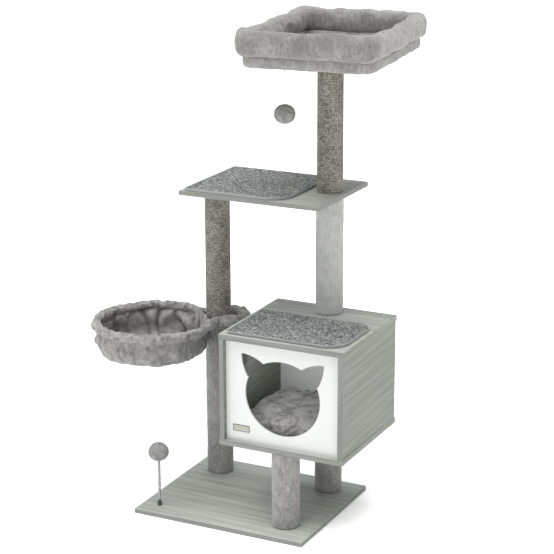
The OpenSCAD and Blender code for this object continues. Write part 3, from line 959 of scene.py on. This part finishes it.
@dataclass
class Posts:
    """Cardboard tubes, three of them in plush and two wound with rope."""

    finishes: Finishes
    core_radius: float = 30 * MM
    rope_width: float = 4.2 * MM
    plush_lip: float = 4.0 * MM
    plush_steps: int = 72
    seam_angle: float = math.radians(115)
    seam_depth: float = 2.2 * MM
    seam_width: float = 1.8 * MM
    turn_steps: int = 48
    rope_sides: int = 8

    def plush(self, node: str, finish: Material) -> None:
        """Makes a plush sleeve with its sewn seam.

        Args:
            node: the CAD node that it stands for.
            finish: its material.
        """
        low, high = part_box(node)
        centre = (low + high) / 2
        outer = (high.x - low.x) / 2
        height = high.z - low.z
        rows = max(8, round(height / (4 * MM)))
        lip = self.plush_lip
        curve = [math.radians(a) for a in (0, 30, 60, 90)]
        foot = [(outer - lip + lip * math.sin(a), lip - lip * math.cos(a)) for a in curve]
        walls = [(outer, lip + (height - 2 * lip) * i / rows) for i in range(1, rows)]
        head = [(outer - lip + lip * math.cos(a), height - lip + lip * math.sin(a)) for a in curve]
        inner = self.core_radius + 0.2 * MM
        profile = [(inner, 0), *foot, *walls, *head, (inner, height)]
        shape = lathe(profile, (centre.x, centre.y, low.z), self.plush_steps)
        ruffle(shape, ((60 * MM, 0.8 * MM), (14 * MM, 0.7 * MM), (5 * MM, 0.4 * MM)), centre.x * 10 + low.z * 7)
        for v in shape.verts:
            side = math.remainder(math.atan2(v.co.y - centre.y, v.co.x - centre.x) - self.seam_angle, 2 * math.pi)
            dip = self.seam_depth * math.exp(-((side * outer / self.seam_width) ** 2))
            flat = Vector((centre.x - v.co.x, centre.y - v.co.y, 0)).normalized()
            v.co += flat * dip
            v.co.z = min(max(v.co.z, low.z), high.z)
        piece = settle(shape, node + "_pile")
        fit(piece, finish, "stand", node)

    def rope(self, node: str) -> None:
        """Winds a post with rope.

        Args:
            node: the CAD node that it stands for.
        """
        low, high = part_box(node)
        centre = (low + high) / 2
        half = self.rope_width / 2
        ring_radius = self.core_radius + half
        rise = high.z - low.z - self.rope_width
        turns = round(rise / self.rope_width)
        pitch = rise / turns
        thread = Thread(half, ring_radius, self.rope_sides, self.turn_steps)
        piece = thread.wound(node + "_turns", (centre.x, centre.y, low.z + half), pitch, turns)

        def end_turns(mesh: Shape) -> None:
            """Adds a level turn at each end, which fills the wedge under the first climb."""
            for start in (low.z + half, high.z - half):
                thread.turn(mesh, (centre.x, centre.y, start), 0.0)

        reshape(piece, end_turns)

        def turn_of(p: Vector) -> float:
            """How many turns the winding has made at a point."""
            part = math.atan2(p.y - centre.y, p.x - centre.x) / (2 * math.pi) % 1
            return round((p.z - low.z - half) / pitch - part) + part

        def around(p: Vector) -> float:
            """The angle round the rope's own middle."""
            middle = low.z + half + pitch * turn_of(p)
            return math.atan2(p.z - middle, math.hypot(p.x - centre.x, p.y - centre.y) - ring_radius)

        store(piece, "along", lambda p: turn_of(p) * 2 * math.pi * ring_radius)
        store(piece, "around", around)
        fit(piece, self.finishes.rope, "stand", node)

    def build(self) -> None:
        """Makes every sleeve and winding."""
        for node in ("left_lower_plush", "front_leg_plush", "rear_leg_plush"):
            self.plush(node, self.finishes.grey_plush)
        self.plush("rear_mid_plush", self.finishes.pale_plush)
        self.rope("left_upper_rope")
        self.rope("top_post_rope")


# Boards and mats ------------------------------------------------------------------


@dataclass
class Mat:
    """A speckled carpet mat with a bound edge."""

    finishes: Finishes
    node: str
    corners: tuple[float, float, float, float]
    cell: float = 4 * MM
    pile_inset: float = 1.2 * MM
    pile_drop: float = 0.8 * MM
    bind_width: float = 3.2 * MM
    bind_step: float = 9 * MM
    corner_steps: int = 12

    def outline(self, inset: float) -> list[Vector]:
        """The mat's outline, inset by a distance, from its front-left corner round.

        Args:
            inset: how far inside the mat's edge the outline is.

        Returns:
            Its points at the mat's middle height.
        """
        low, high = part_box(self.node)
        middle = (low.z + high.z) / 2
        spots = (
            (low.x, low.y, 1, 1, 180), (high.x, low.y, -1, 1, 270),
            (high.x, high.y, -1, -1, 0), (low.x, high.y, 1, -1, 90),
        )
        points = []
        for (x, y, right, back, start), radius in zip(spots, self.corners):
            reach = max(radius - inset, 1 * MM)
            corner = Vector((x + right * (inset + reach), y + back * (inset + reach), middle))
            for i in range(self.corner_steps + 1):
                a = math.radians(start + 90 * i / self.corner_steps)
                points.append(corner + reach * Vector((math.cos(a), math.sin(a), 0)))
        return points

    def pile(self) -> None:
        """Makes the carpet itself."""
        low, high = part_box(self.node)
        shape = bmesh.new()
        points = self.outline(self.pile_inset)
        ring_of(shape, [Vector((p.x, p.y, low.z)) for p in points])
        bmesh.ops.contextual_create(shape, geom=shape.edges)
        grown = bmesh.ops.extrude_face_region(shape, geom=shape.faces[:])["geom"]
        top = [g for g in grown if isinstance(g, bmesh.types.BMVert)]
        bmesh.ops.translate(shape, vec=(0, 0, high.z - low.z - self.pile_drop), verts=top)
        bmesh.ops.recalc_face_normals(shape, faces=shape.faces)
        piece = remeshed(shape, self.node + "_pile", self.cell)

        def loops(mesh: Shape) -> None:
            """Raises the loops a little and keeps the underside flat."""
            ruffle(mesh, ((9 * MM, 0.7 * MM), (4 * MM, 0.6 * MM)), low.z * 5)
            for v in mesh.verts:
                v.co.z = max(v.co.z, low.z + 0.2 * MM)

        reshape(piece, loops)
        fit(piece, self.finishes.carpet, "stand", self.node)

    def binding(self) -> None:
        """Makes the bound edge as a tube round the outline."""
        low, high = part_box(self.node)
        points = self.outline(self.bind_width / 2)
        stops, along, dense, walked = [], [], [], 0.0
        for here, there in zip(points, points[1:] + points[:1]):
            pieces = max(1, round((there - here).length / self.bind_step))
            dense += [here.lerp(there, i / pieces) for i in range(pieces)]
        for before, here, there in zip(dense[-1:] + dense[:-1], dense, dense[1:] + dense[:1]):
            heading = there - before
            stops.append(standing(here, math.atan2(heading.y, heading.x)))
            along.append(walked)
            walked += (there - here).length
        shape = sweep(oval(self.bind_width / 2, (high.z - low.z) / 2, 12, 2.6), stops, closed=True)
        piece = settle(shape, self.node + "_binding")
        store(piece, "along", lambda p: along[min(range(len(dense)), key=lambda k: (dense[k] - p).length_squared)])
        fit(piece, self.finishes.binding, "stand")

    def build(self) -> None:
        """Makes the mat and its bound edge."""
        self.pile()
        self.binding()


@dataclass
class Boards:
    """The laminated boards, with their edges eased."""

    finishes: Finishes
    ease: float = 0.8 * MM

    def panel(self, node: str, name: str, face: Material, band: Material, end: int) -> None:
        """Makes a board whose end edges have a band with its own grain.

        Args:
            node: the CAD node that it stands for.
            name: the piece's name.
            face: the finish of its faces and long edges.
            band: the finish of its end edges.
            end: the axis that its end edges face.
        """
        piece = fit(eased_copy(node, name, self.ease), face, "stand", node)
        piece.data.materials.append(band)
        # The end and edge finishes are darker copies of the laminate: painted shade on the faces that face sideways and
        # forwards.
        piece.data.materials.append(self.finishes.boards_edge_shaded)
        for polygon in piece.data.polygons:
            if abs(polygon.normal[end]) > FACING:
                polygon.material_index = 1
            elif end == 0 and abs(polygon.normal.y) > FACING:
                polygon.material_index = 2

    def build(self) -> None:
        """Makes the boards, the white panels, and the finish of each."""
        f = self.finishes
        for node in ("base_board", "cabin_floor", "cabin_roof", "shelf_board"):
            self.panel(node, node.removesuffix("_board") + "_laminate", f.boards_x, f.boards_y_shaded, 0)
        for node in ("cabin_left_side", "cabin_right_side"):
            self.panel(node, node + "_laminate", f.boards_y_shaded, f.boards_up_shaded, 1)
        for node in ("cabin_front", "cabin_back"):
            fit(eased_copy(node, node + "_face", 0.5 * MM), f.white, "stand", node)
        Mat(f, "roof_mat", (8 * MM, 55 * MM, 38 * MM, 8 * MM)).build()
        Mat(f, "shelf_mat", (10 * MM, 60 * MM, 45 * MM, 10 * MM)).build()


@dataclass
class Cabin:
    """What stands in and on the cabin: its cushion and its blank plate."""

    finishes: Finishes
    shrink: float = 9 * MM
    sag: float = 8 * MM
    cell: float = 5 * MM
    crease_depth: float = 6 * MM

    def cushion(self) -> None:
        """Makes the soft, crumpled cushion on the cabin's floor."""
        low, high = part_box("cabin_cushion")
        size, centre = high - low, (low + high) / 2
        width, depth = size.x - 2 * self.shrink, size.y - 2 * self.shrink
        shape = slab(width, depth, size.z - self.shrink - self.sag, 45 * MM, 17 * MM)
        bmesh.ops.translate(shape, vec=(centre.x, centre.y, low.z + 4 * MM), verts=shape.verts)
        piece = remeshed(shape, "cabin_cushion_pile", self.cell)
        reshape(piece, lambda mesh: ruffle(mesh, ((55 * MM, 5 * MM), (24 * MM, 2.5 * MM)), 3.1))
        inflate(piece, 4.0, 0.14, 12 * MM)

        def crumple(p: Vector) -> float:
            """How near a point is to a crease, from 0 to 1."""
            bent = p + 0.02 * noise.noise_vector(p / (50 * MM))
            broad = abs(noise.noise(bent / (44 * MM) + Vector((4, 1, 9))))
            small = abs(noise.noise(bent / (26 * MM) + Vector((8, 3, 2)))) * 1.6
            return max(0.0, 1 - min(broad, small) * 7)

        def tuft(mesh: Shape) -> None:
            """Adds creases and keeps the cushion on the floor and inside the cabin."""
            mesh.normal_update()
            for v in mesh.verts:
                v.co -= v.normal * crumple(v.co) * self.crease_depth
                v.co.z = max(v.co.z, low.z + 0.3 * MM)
            ruffle(mesh, ((9 * MM, 1.2 * MM),), 8.8)

        # Painted shade in the creases that tuft presses in.
        store(piece, "hollow", lambda p: 0.75 * crumple(p))
        upholster(piece, self.finishes.grey_plush, "cabin_cushion", tuft)

    def plate(self) -> None:
        """Makes the blank plate on the front panel, with a raised rim and two rivets."""
        low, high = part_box("label_plate")
        shape = bmesh.new()
        bmesh.ops.create_cube(shape, size=1)
        bmesh.ops.scale(shape, vec=(high.x - low.x, high.y - low.y, high.z - low.z), verts=shape.verts)
        bmesh.ops.translate(shape, vec=(low + high) / 2, verts=shape.verts)
        upright = [e for e in shape.edges if abs((e.verts[0].co - e.verts[1].co).y) > 0.5 * MM]
        bmesh.ops.bevel(shape, geom=upright, offset=1.6 * MM, affect="EDGES", segments=4, profile=0.5, material=-1)
        shape.normal_update()
        for f in shape.faces:
            f.material_index = 1
        face = [f for f in shape.faces if f.normal.y < -FACING]
        bmesh.ops.inset_region(shape, faces=face, thickness=1.3 * MM, depth=0)
        bmesh.ops.inset_region(shape, faces=face, thickness=0.3 * MM, depth=-0.35 * MM)
        for f in face:
            f.material_index = 0
        for side in (low.x + 4 * MM, high.x - 4 * MM):
            place = Matrix.Translation((side, low.y + 0.3 * MM, (low.z + high.z) / 2)) @ Matrix.Scale(0.5, 4, (0, 1, 0))
            bmesh.ops.create_uvsphere(shape, u_segments=16, v_segments=8, radius=1.1 * MM, matrix=place)
        piece = settle(shape, "blank_plate", smooth=False)
        fit(piece, self.finishes.label, "stand", "label_plate")
        piece.data.materials.append(self.finishes.label_rim)

    def build(self) -> None:
        """Makes the cushion and the plate."""
        self.cushion()
        self.plate()


# Bed ---------------------------------------------------------------------------------


@dataclass
class Bed:
    """A plush bed: a base band, a fat bolster round it and a thin pad."""

    finishes: Finishes
    width: float = 336 * MM
    depth: float = 452 * MM
    turn: float = math.radians(6.5)
    bolster_w: float = 46 * MM
    bolster_inset: float = 7 * MM
    corner: float = 24 * MM
    corner_steps: int = 8
    cell: float = 6 * MM
    base_over: float = 4 * MM
    sink_depth: float = 13 * MM
    sink_edge: float = 28 * MM
    bolster_seat: float = 4 * MM
    pad_gap: float = 10 * MM

    def placed(self, shape: Shape, height: float) -> Shape:
        """Turns a shape with the bed and puts it at a height."""
        low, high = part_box("bed_base_cover")
        middle = Matrix.Translation(((low.x + high.x) / 2, (low.y + high.y) / 2, height))
        bmesh.ops.transform(shape, matrix=middle @ Matrix.Rotation(self.turn, 4, "Z"), verts=shape.verts)
        return shape

    def base(self) -> None:
        """Makes the padded band under the bolster, wrapped round the board."""
        low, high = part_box("bed_base_cover")
        over = self.base_over
        shape = slab(self.width + over, self.depth + over, high.z - low.z + over, 26 * MM, 8 * MM)
        piece = remeshed(self.placed(shape, low.z - 1 * MM), "bed_base_pile", self.cell)
        back = Matrix.Rotation(-self.turn, 3, "Z")
        middle = piece_middle(piece)

        def sink(mesh: Shape) -> None:
            """Sinks the middle for the pad, and wrinkles the rest."""
            ruffle(mesh, ((50 * MM, 2.6 * MM), (16 * MM, 1.6 * MM), (7 * MM, 0.8 * MM)), 6.3)
            half_w, half_d = self.width / 2 - self.sink_edge, self.depth / 2 - self.sink_edge
            for v in mesh.verts:
                p = back @ (v.co - middle)
                if p.z > 5 * MM and abs(p.x) < half_w and abs(p.y) < half_d:
                    v.co.z -= self.sink_depth

        upholster(piece, self.finishes.grey_plush, "bed_base_cover", sink)

    def stops(self) -> list[Matrix]:
        """The bolster section's places, round the bed."""
        half_w = self.width / 2 - self.bolster_inset - self.corner
        half_d = self.depth / 2 - self.bolster_inset - self.corner
        places = []
        spots = ((half_w, half_d), (-half_w, half_d), (-half_w, -half_d), (half_w, -half_d))
        for i, (x, y) in enumerate(spots):
            for k in range(self.corner_steps + 1):
                part = k / self.corner_steps
                a = math.radians(90 * (i + part))
                at = Vector((x + self.corner * math.cos(a), y + self.corner * math.sin(a), 0))
                upright = Matrix.Translation(at) @ Matrix.Rotation(a, 4, "Z") @ Matrix.Rotation(math.pi / 2, 4, "X")
                places.append(upright @ Matrix.Diagonal((1, 1 + 0.10 * math.sin(math.pi * part), 1, 1)))
        return places

    def bolster(self) -> None:
        """Makes the bolster, blown up from a slimmer ring."""
        low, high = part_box("bed_bolster")
        half_h = (high.z - low.z) / 2
        shape = sweep(oval(self.bolster_w / 2, half_h - 2 * MM, 20, 2.6), self.stops(), closed=True)
        piece = remeshed(self.placed(shape, low.z + half_h - self.bolster_seat), "bed_bolster_pile", self.cell)
        reshape(piece, lambda mesh: ruffle(mesh, ((90 * MM, 3.5 * MM), (34 * MM, 1.6 * MM)), 1.9))
        inflate(piece, 4.0, 0.06, 5 * MM)
        middle = piece_middle(piece)
        back = Matrix.Rotation(-self.turn, 3, "Z")

        def gathering(point: Vector) -> tuple[float, float]:
            """How strongly a point of the bolster is gathered, and where it is in a fold."""
            p = back @ (point - middle)
            near_x = self.width / 2 - self.bolster_w - abs(p.x)
            near_y = self.depth / 2 - self.bolster_w - abs(p.y)
            if near_x < -14 * MM or near_y < -14 * MM:
                return 0.0, 0.0
            closeness = math.exp(-((min(max(near_x, near_y, 0), 90 * MM) / (44 * MM)) ** 2))
            return closeness, math.sin((abs(p.x) + abs(p.y)) / (2.6 * MM) + 4 * noise.noise(p / (30 * MM)))

        def creases(mesh: Shape) -> None:
            """Adds upright folds to the inner corners, and a fine nap."""
            mesh.normal_update()
            for v in mesh.verts:
                closeness, fold = gathering(v.co)
                v.co += v.normal * fold * 2.0 * MM * closeness
            ruffle(mesh, ((60 * MM, 3.0 * MM), (20 * MM, 1.6 * MM), (8 * MM, 0.8 * MM)), 4.2)

        def shade(point: Vector) -> float:
            """How much painted shade a point gets: deep in a fold or an inner corner, and in patches over the bolster's
            front.
            """
            closeness, fold = gathering(point)
            if closeness:
                return closeness * (0.28 - 0.30 * fold)
            outside = (back @ (point - middle)).y < -self.depth / 2
            return max(0.0, 0.24 + 0.5 * noise.noise(point / (55 * MM))) if outside else 0.0

        store(piece, "hollow", shade)
        upholster(piece, self.finishes.grey_plush, "bed_bolster", creases)

    def pad(self) -> None:
        """Makes the thin pad inside the bolster."""
        low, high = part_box("bed_pad")
        width, depth = (side - self.bolster_w - self.pad_gap for side in (self.width, self.depth))
        shape = slab(width, depth, high.z - low.z, 9 * MM, 3 * MM)
        piece = remeshed(self.placed(shape, low.z), "bed_pad_pile", self.cell)

        def crown(mesh: Shape) -> None:
            """Crowns the pad a little and lays wrinkles over it."""
            centre = piece_middle(piece)
            for v in mesh.verts:
                reach = max(abs(v.co.x - centre.x) / width, abs(v.co.y - centre.y) / depth) * 2
                if v.co.z > low.z + 5 * MM:
                    v.co.z += 3 * MM * (1 - min(reach, 1) ** 2)
            ruffle(mesh, ((45 * MM, 2.0 * MM), (15 * MM, 1.2 * MM)), 7.7)
            for v in mesh.verts:
                v.co.z = max(v.co.z, low.z - 2 * MM)

        upholster(piece, self.finishes.grey_plush, "bed_pad", crown)

    def build(self) -> None:
        """Makes the bed's three soft parts."""
        self.base()
        self.bolster()
        self.pad()


def piece_middle(piece: Object) -> Vector:
    """The middle of a piece's box."""
    corners = [Vector(c) for c in piece.bound_box]
    return (corners[0] + corners[6]) / 2


# Basket --------------------------------------------------------------------------------


@dataclass
class Basket:
    """A gathered plush bag in a padded hoop that swivels on its post."""

    finishes: Finishes
    hoop_radius: float = 154 * MM
    reach: float = 181.6 * MM
    turn: float = math.radians(43.5)
    rim: float = 12 * MM
    collar: float = 13.6 * MM
    neck_half: float = 51 * MM
    neck_end: float = 203.6 * MM
    bend: float = 25 * MM
    split: float = 167 * MM
    bag_depth: float = 81 * MM
    bag_foot: float = 34 * MM
    bag_flat: float = 140 * MM
    bag_top: float = -3 * MM
    deepest: float = math.radians(-154)
    pleats: int = 21
    wall: float = 3 * MM
    hoop_steps: int = 210
    bag_steps: int = 216

    def place(self) -> Matrix:
        """Where the hoop's own plan lies: its centre, with +X towards the post."""
        low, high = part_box("left_lower_core")
        post = Vector(((low.x + high.x) / 2, (low.y + high.y) / 2, 0))
        rim_low, rim_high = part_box("rim_sleeve")
        away = Vector((math.cos(self.turn), math.sin(self.turn), 0)) * self.reach
        return Matrix.Translation(post - away + UP * (rim_low.z + rim_high.z) / 2) @ Matrix.Rotation(self.turn, 4, "Z")

    def path(self) -> list[tuple[float, float, float]]:
        """The hoop's round part: points and headings from one side of the neck to the other."""
        bend_x = math.sqrt((self.hoop_radius + self.bend) ** 2 - (self.neck_half + self.bend) ** 2)
        tip = math.atan2(self.neck_half + self.bend, bend_x)
        stops = [(self.split, self.neck_half, math.pi)]
        for k in range(7):
            a = math.radians(270) - (math.radians(90) - tip) * k / 6
            bend_y = self.neck_half + self.bend
            stops.append((bend_x + self.bend * math.cos(a), bend_y + self.bend * math.sin(a), a - math.pi / 2))
        for k in range(1, self.hoop_steps):
            a = tip + (2 * math.pi - 2 * tip) * k / self.hoop_steps
            stops.append((self.hoop_radius * math.cos(a), self.hoop_radius * math.sin(a), a + math.pi / 2))
        lower = [(x, -y, math.pi - h) for x, y, h in stops[:8]]
        return stops + [(x, y, h) for x, y, h in reversed(lower)]

    def gather(self, stops: list[tuple[float, float, float]], radius: float, name: str, node: str, lip: bool) -> None:
        """Makes a gathered sleeve along a row of stops.

        Args:
            stops: points and headings.
            radius: the sleeve's radius.
            name: the piece's name.
            node: the CAD node that it stands for.
            lip: whether its ends are drawn in to a rounded lip.
        """
        last = len(stops) - 1
        places = []
        for k, (x, y, heading) in enumerate(stops):
            end = min(k, last - k)
            puff = 1 + 0.05 * noise.noise(Vector((k * 0.55, radius * 900, 2.3)))
            drawn_in = (0.80, 0.96)[end] if lip and end < 2 else 1
            places.append(standing((x, y, 0), heading) @ Matrix.Scale(puff * drawn_in, 4))
        shape = sweep(oval(radius, radius, 22), places, closed=False)
        ruffle(shape, ((30 * MM, 3.6 * MM), (13 * MM, 5.4 * MM), (7 * MM, 2.2 * MM)), radius * 500)
        bmesh.ops.transform(shape, matrix=self.place(), verts=shape.verts)
        piece = settle(shape, name)
        shift = Vector((1, 1.7, -1)) * radius * 500
        # Painted shade in dark patches where a noise at the sleeve's 13 mm ruffle scale is low.
        store(piece, "hollow", lambda p: max(0.0, -0.9 * noise.noise(p / (13 * MM) + shift)))
        subdivide(piece)
        fit(piece, self.finishes.grey_plush, "basket", node)

    def collar_stops(self) -> list[tuple[float, float, float]]:
        """The neck's path, from one side round behind the post to the other."""
        straight = [self.split + (self.neck_end - self.split) * k / 8 for k in range(8)]
        stops = [(x, -self.neck_half, 0.0) for x in straight]
        for k in range(37):
            a = math.radians(-90 + 5 * k)
            stops.append((self.neck_end + self.neck_half * math.cos(a), self.neck_half * math.sin(a), a + math.pi / 2))
        return stops + [(x, self.neck_half, math.pi) for x in reversed(straight)]

    def pleat(self, angle: float, drop: float) -> float:
        """Where a place lies across its pleat, from 0 to 1."""
        wander = 1.3 * noise.noise(Vector((math.cos(angle) * 2.2, math.sin(angle) * 2.2, drop * 0.9)))
        return (angle / (2 * math.pi) * self.pleats + wander) % 1

    def far_side(self, angle: float) -> float:
        """1 on the side where the folds are deepest, falling to 0 opposite."""
        return 0.5 - 0.5 * math.sin(angle + self.turn + self.deepest)

    def fold(self, angle: float, drop: float) -> float:
        """How far the bag's wall moves inwards at a place.

        Args:
            angle: the direction from the hoop's centre.
            drop: 0 at the rim and 1 at the foot.

        Returns:
            The distance, in metres.
        """
        pillow = math.sqrt(max(0.0, math.sin(math.pi * self.pleat(angle, drop))))
        far_side = self.far_side(angle)
        depth = (3 + 26 * far_side) * MM * math.sin(math.pi * min(0.92, drop * 0.78 + 0.12)) * min(1.0, drop * 6)
        small = 2.2 * MM * noise.noise(Vector((math.cos(angle) * 9, math.sin(angle) * 9, drop * 4)))
        crumple = noise.noise(Vector((math.cos(angle) * 4, math.sin(angle) * 4, drop * 3 + angle)))
        crumple *= 15 * MM * (1 - far_side) * math.sin(math.pi * min(1.0, max(0.0, drop)))
        return pillow * depth + small + crumple

    def crease(self, p: Vector) -> float:
        """How much painted shade a point of the bag, in the hoop's own plan, gets at a crease between pleats or along a
        tuck.
        """
        angle = math.atan2(p.y, p.x)
        drop = min(1.0, max(0.0, (self.bag_top - p.z) / (self.bag_depth + self.bag_top)))
        reach = min(1.0, max(0.0, (math.hypot(p.x, p.y) - 60 * MM) / (60 * MM)))
        part, far_side = self.pleat(angle, drop), self.far_side(angle)
        tuck = max(0.0, 1 - abs(noise.noise(p / (36 * MM))) * 6) * (1 - far_side) * min(1.0, drop * 4)
        return reach * max(tuck, far_side * max(0.0, 1 - min(part, 1 - part) * 3.6))

    def bag(self) -> None:
        """Makes the bag: a turned shell, gathered into folds and flattened beside the post."""
        top, bottom = self.bag_top, -self.bag_depth
        rim = self.hoop_radius + 3 * MM
        foot = self.bag_foot
        floor = [((rim - foot) * i / 14 + 0.1 * MM, bottom) for i in range(14)]
        corner = [(rim - foot + foot * math.sin(a), bottom + foot - foot * math.cos(a))
                  for a in (math.radians(85 * i / 12) for i in range(13))]
        corner_top = corner[-1][1]
        wall = [(rim - 1 * MM, corner_top + (top - corner_top) * i / 6) for i in range(1, 7)]
        shape = lathe([*floor, *corner, *wall], (0, 0, 0), self.bag_steps, closed=False)
        middle_hole = [e for e in shape.edges if e.is_boundary and e.verts[0].co.z < bottom / 2]
        bmesh.ops.holes_fill(shape, edges=middle_hole, sides=0)
        stop_x = self.bag_flat - 6 * MM
        for v in shape.verts:
            level = math.hypot(v.co.x, v.co.y)
            angle = math.atan2(v.co.y, v.co.x)
            drop = (v.co.z - top) / (bottom - top)
            if level > 20 * MM:
                share = min(1.0, max(0.0, (level - 45 * MM) / (70 * MM)))
                inward = self.fold(angle, drop) * share
                v.co.x -= inward * math.cos(angle)
                v.co.y -= inward * math.sin(angle)
                v.co.z += drop * inward * 0.15
            sag = 3 * MM * noise.noise(v.co / (60 * MM))
            v.co.z += sag * drop
            if v.co.x > stop_x:
                v.co.x = stop_x + (v.co.x - stop_x) * 0.25
            near_post = min(1.0, max(0.0, (v.co.x - 96 * MM) / (36 * MM)))
            v.co.z += near_post * max(0.0, 1 - drop * 2.2) * 17 * MM
        ruffle(shape, ((34 * MM, 6 * MM), (13 * MM, 2.6 * MM)), 5.1)
        bmesh.ops.recalc_face_normals(shape, faces=shape.faces)
        bmesh.ops.transform(shape, matrix=self.place(), verts=shape.verts)
        piece = settle(shape, "basket_bag_cloth")
        home = self.place().inverted()
        # Painted shade in the bag's creases and tucks.
        store(piece, "hollow", lambda p: 0.85 * self.crease(home @ p))
        thick = piece.modifiers.new("Wall", "SOLIDIFY")
        thick.thickness, thick.offset = self.wall, 0.0
        applied(piece)
        subdivide(piece)
        fit(piece, self.finishes.grey_plush, "basket", "basket_bag")

    def build(self) -> None:
        """Makes the rim, the neck's sleeve and the bag."""
        self.gather(self.path(), self.rim, "basket_rim_sleeve", "rim_sleeve", lip=True)
        self.gather(self.collar_stops(), self.collar, "basket_neck_sleeve", "collar_sleeve", lip=False)
        self.bag()


# Spring toy -------------------------------------------------------------------------------


@dataclass
class SpringToy:
    """A close-wound spring with a plush ball on it."""

    finishes: Finishes
    wire: float = 1.3 * MM
    pitch: float = 1.55 * MM
    sides: int = 6
    turn_steps: int = 20
    split_at: float = 66 * MM
    foot_bend: tuple[float, float] = (40 * MM, 62 * MM)
    top_bend: tuple[float, float] = (68 * MM, 102 * MM)

    def build(self) -> None:
        """Makes the coil in two parts, split half-way up, and its ball."""
        low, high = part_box("lower_spring")
        centre = (low + high) / 2
        half = self.wire / 2
        thread = Thread(half, (high.x - low.x) / 2 - half, self.sides, self.turn_steps)
        turns = int((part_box("upper_spring")[1].z - low.z - self.wire) / self.pitch)
        split = round((self.split_at - low.z) / self.pitch)
        halves = (
            ("toy_spring_foot", "lower_spring", 0, split, "stand", "spring_lower", self.foot_bend),
            ("toy_spring_coil", "upper_spring", split, turns - split, "spring_lower", "spring_upper", self.top_bend),
        )
        for name, node, first, count, held, moved, (start, end) in halves:
            foot = (centre.x, centre.y, low.z + half + first * self.pitch)
            piece = thread.wound(name, foot, self.pitch, count)
            piece.data.materials.append(self.finishes.spring)
            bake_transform(piece)
            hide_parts(node)
        ball_low, ball_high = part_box("spring_ball")
        middle, radius = (ball_low + ball_high) / 2, (ball_high.z - ball_low.z) / 2
        PlushBall(self.finishes, "spring_ball_pile", tuple(middle), radius, "spring_upper", "spring_ball").build()


def dress_cad_nodes(finishes: Finishes) -> None:
    """Gives every CAD node that stays its material."""
    f = finishes
    plated = ("panel_bolts", "bolt_washers", "joining_studs", "insert_nuts", "side_screws", "hoop_wire", "hoop_plate",
              "toy_eye", "toy_ring")
    by_name = dict.fromkeys(plated, f.zinc) | {
        "post_end_plugs": f.plastic, "spring_socket": f.plastic, "cabin_dowels": f.timber, "bed_board": f.timber,
        "toy_knot": f.cord,
    }
    for name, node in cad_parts.items():
        finish = by_name.get(name, f.card if name.endswith("_core") else None)
        if finish is not None:
            node.data.materials.clear()
            node.data.materials.append(finish)


def main() -> None:
    """Builds every sub-assembly in order."""
    finishes = Finishes()
    Studio().build()
    HangingToy(finishes).cord()
    dress_cad_nodes(finishes)
    for part in (Posts, Boards, Cabin, Bed, Basket, SpringToy):
        part(finishes).build()
        log.info("%s made", part.__name__)


if __name__ == "__main__":
    main()
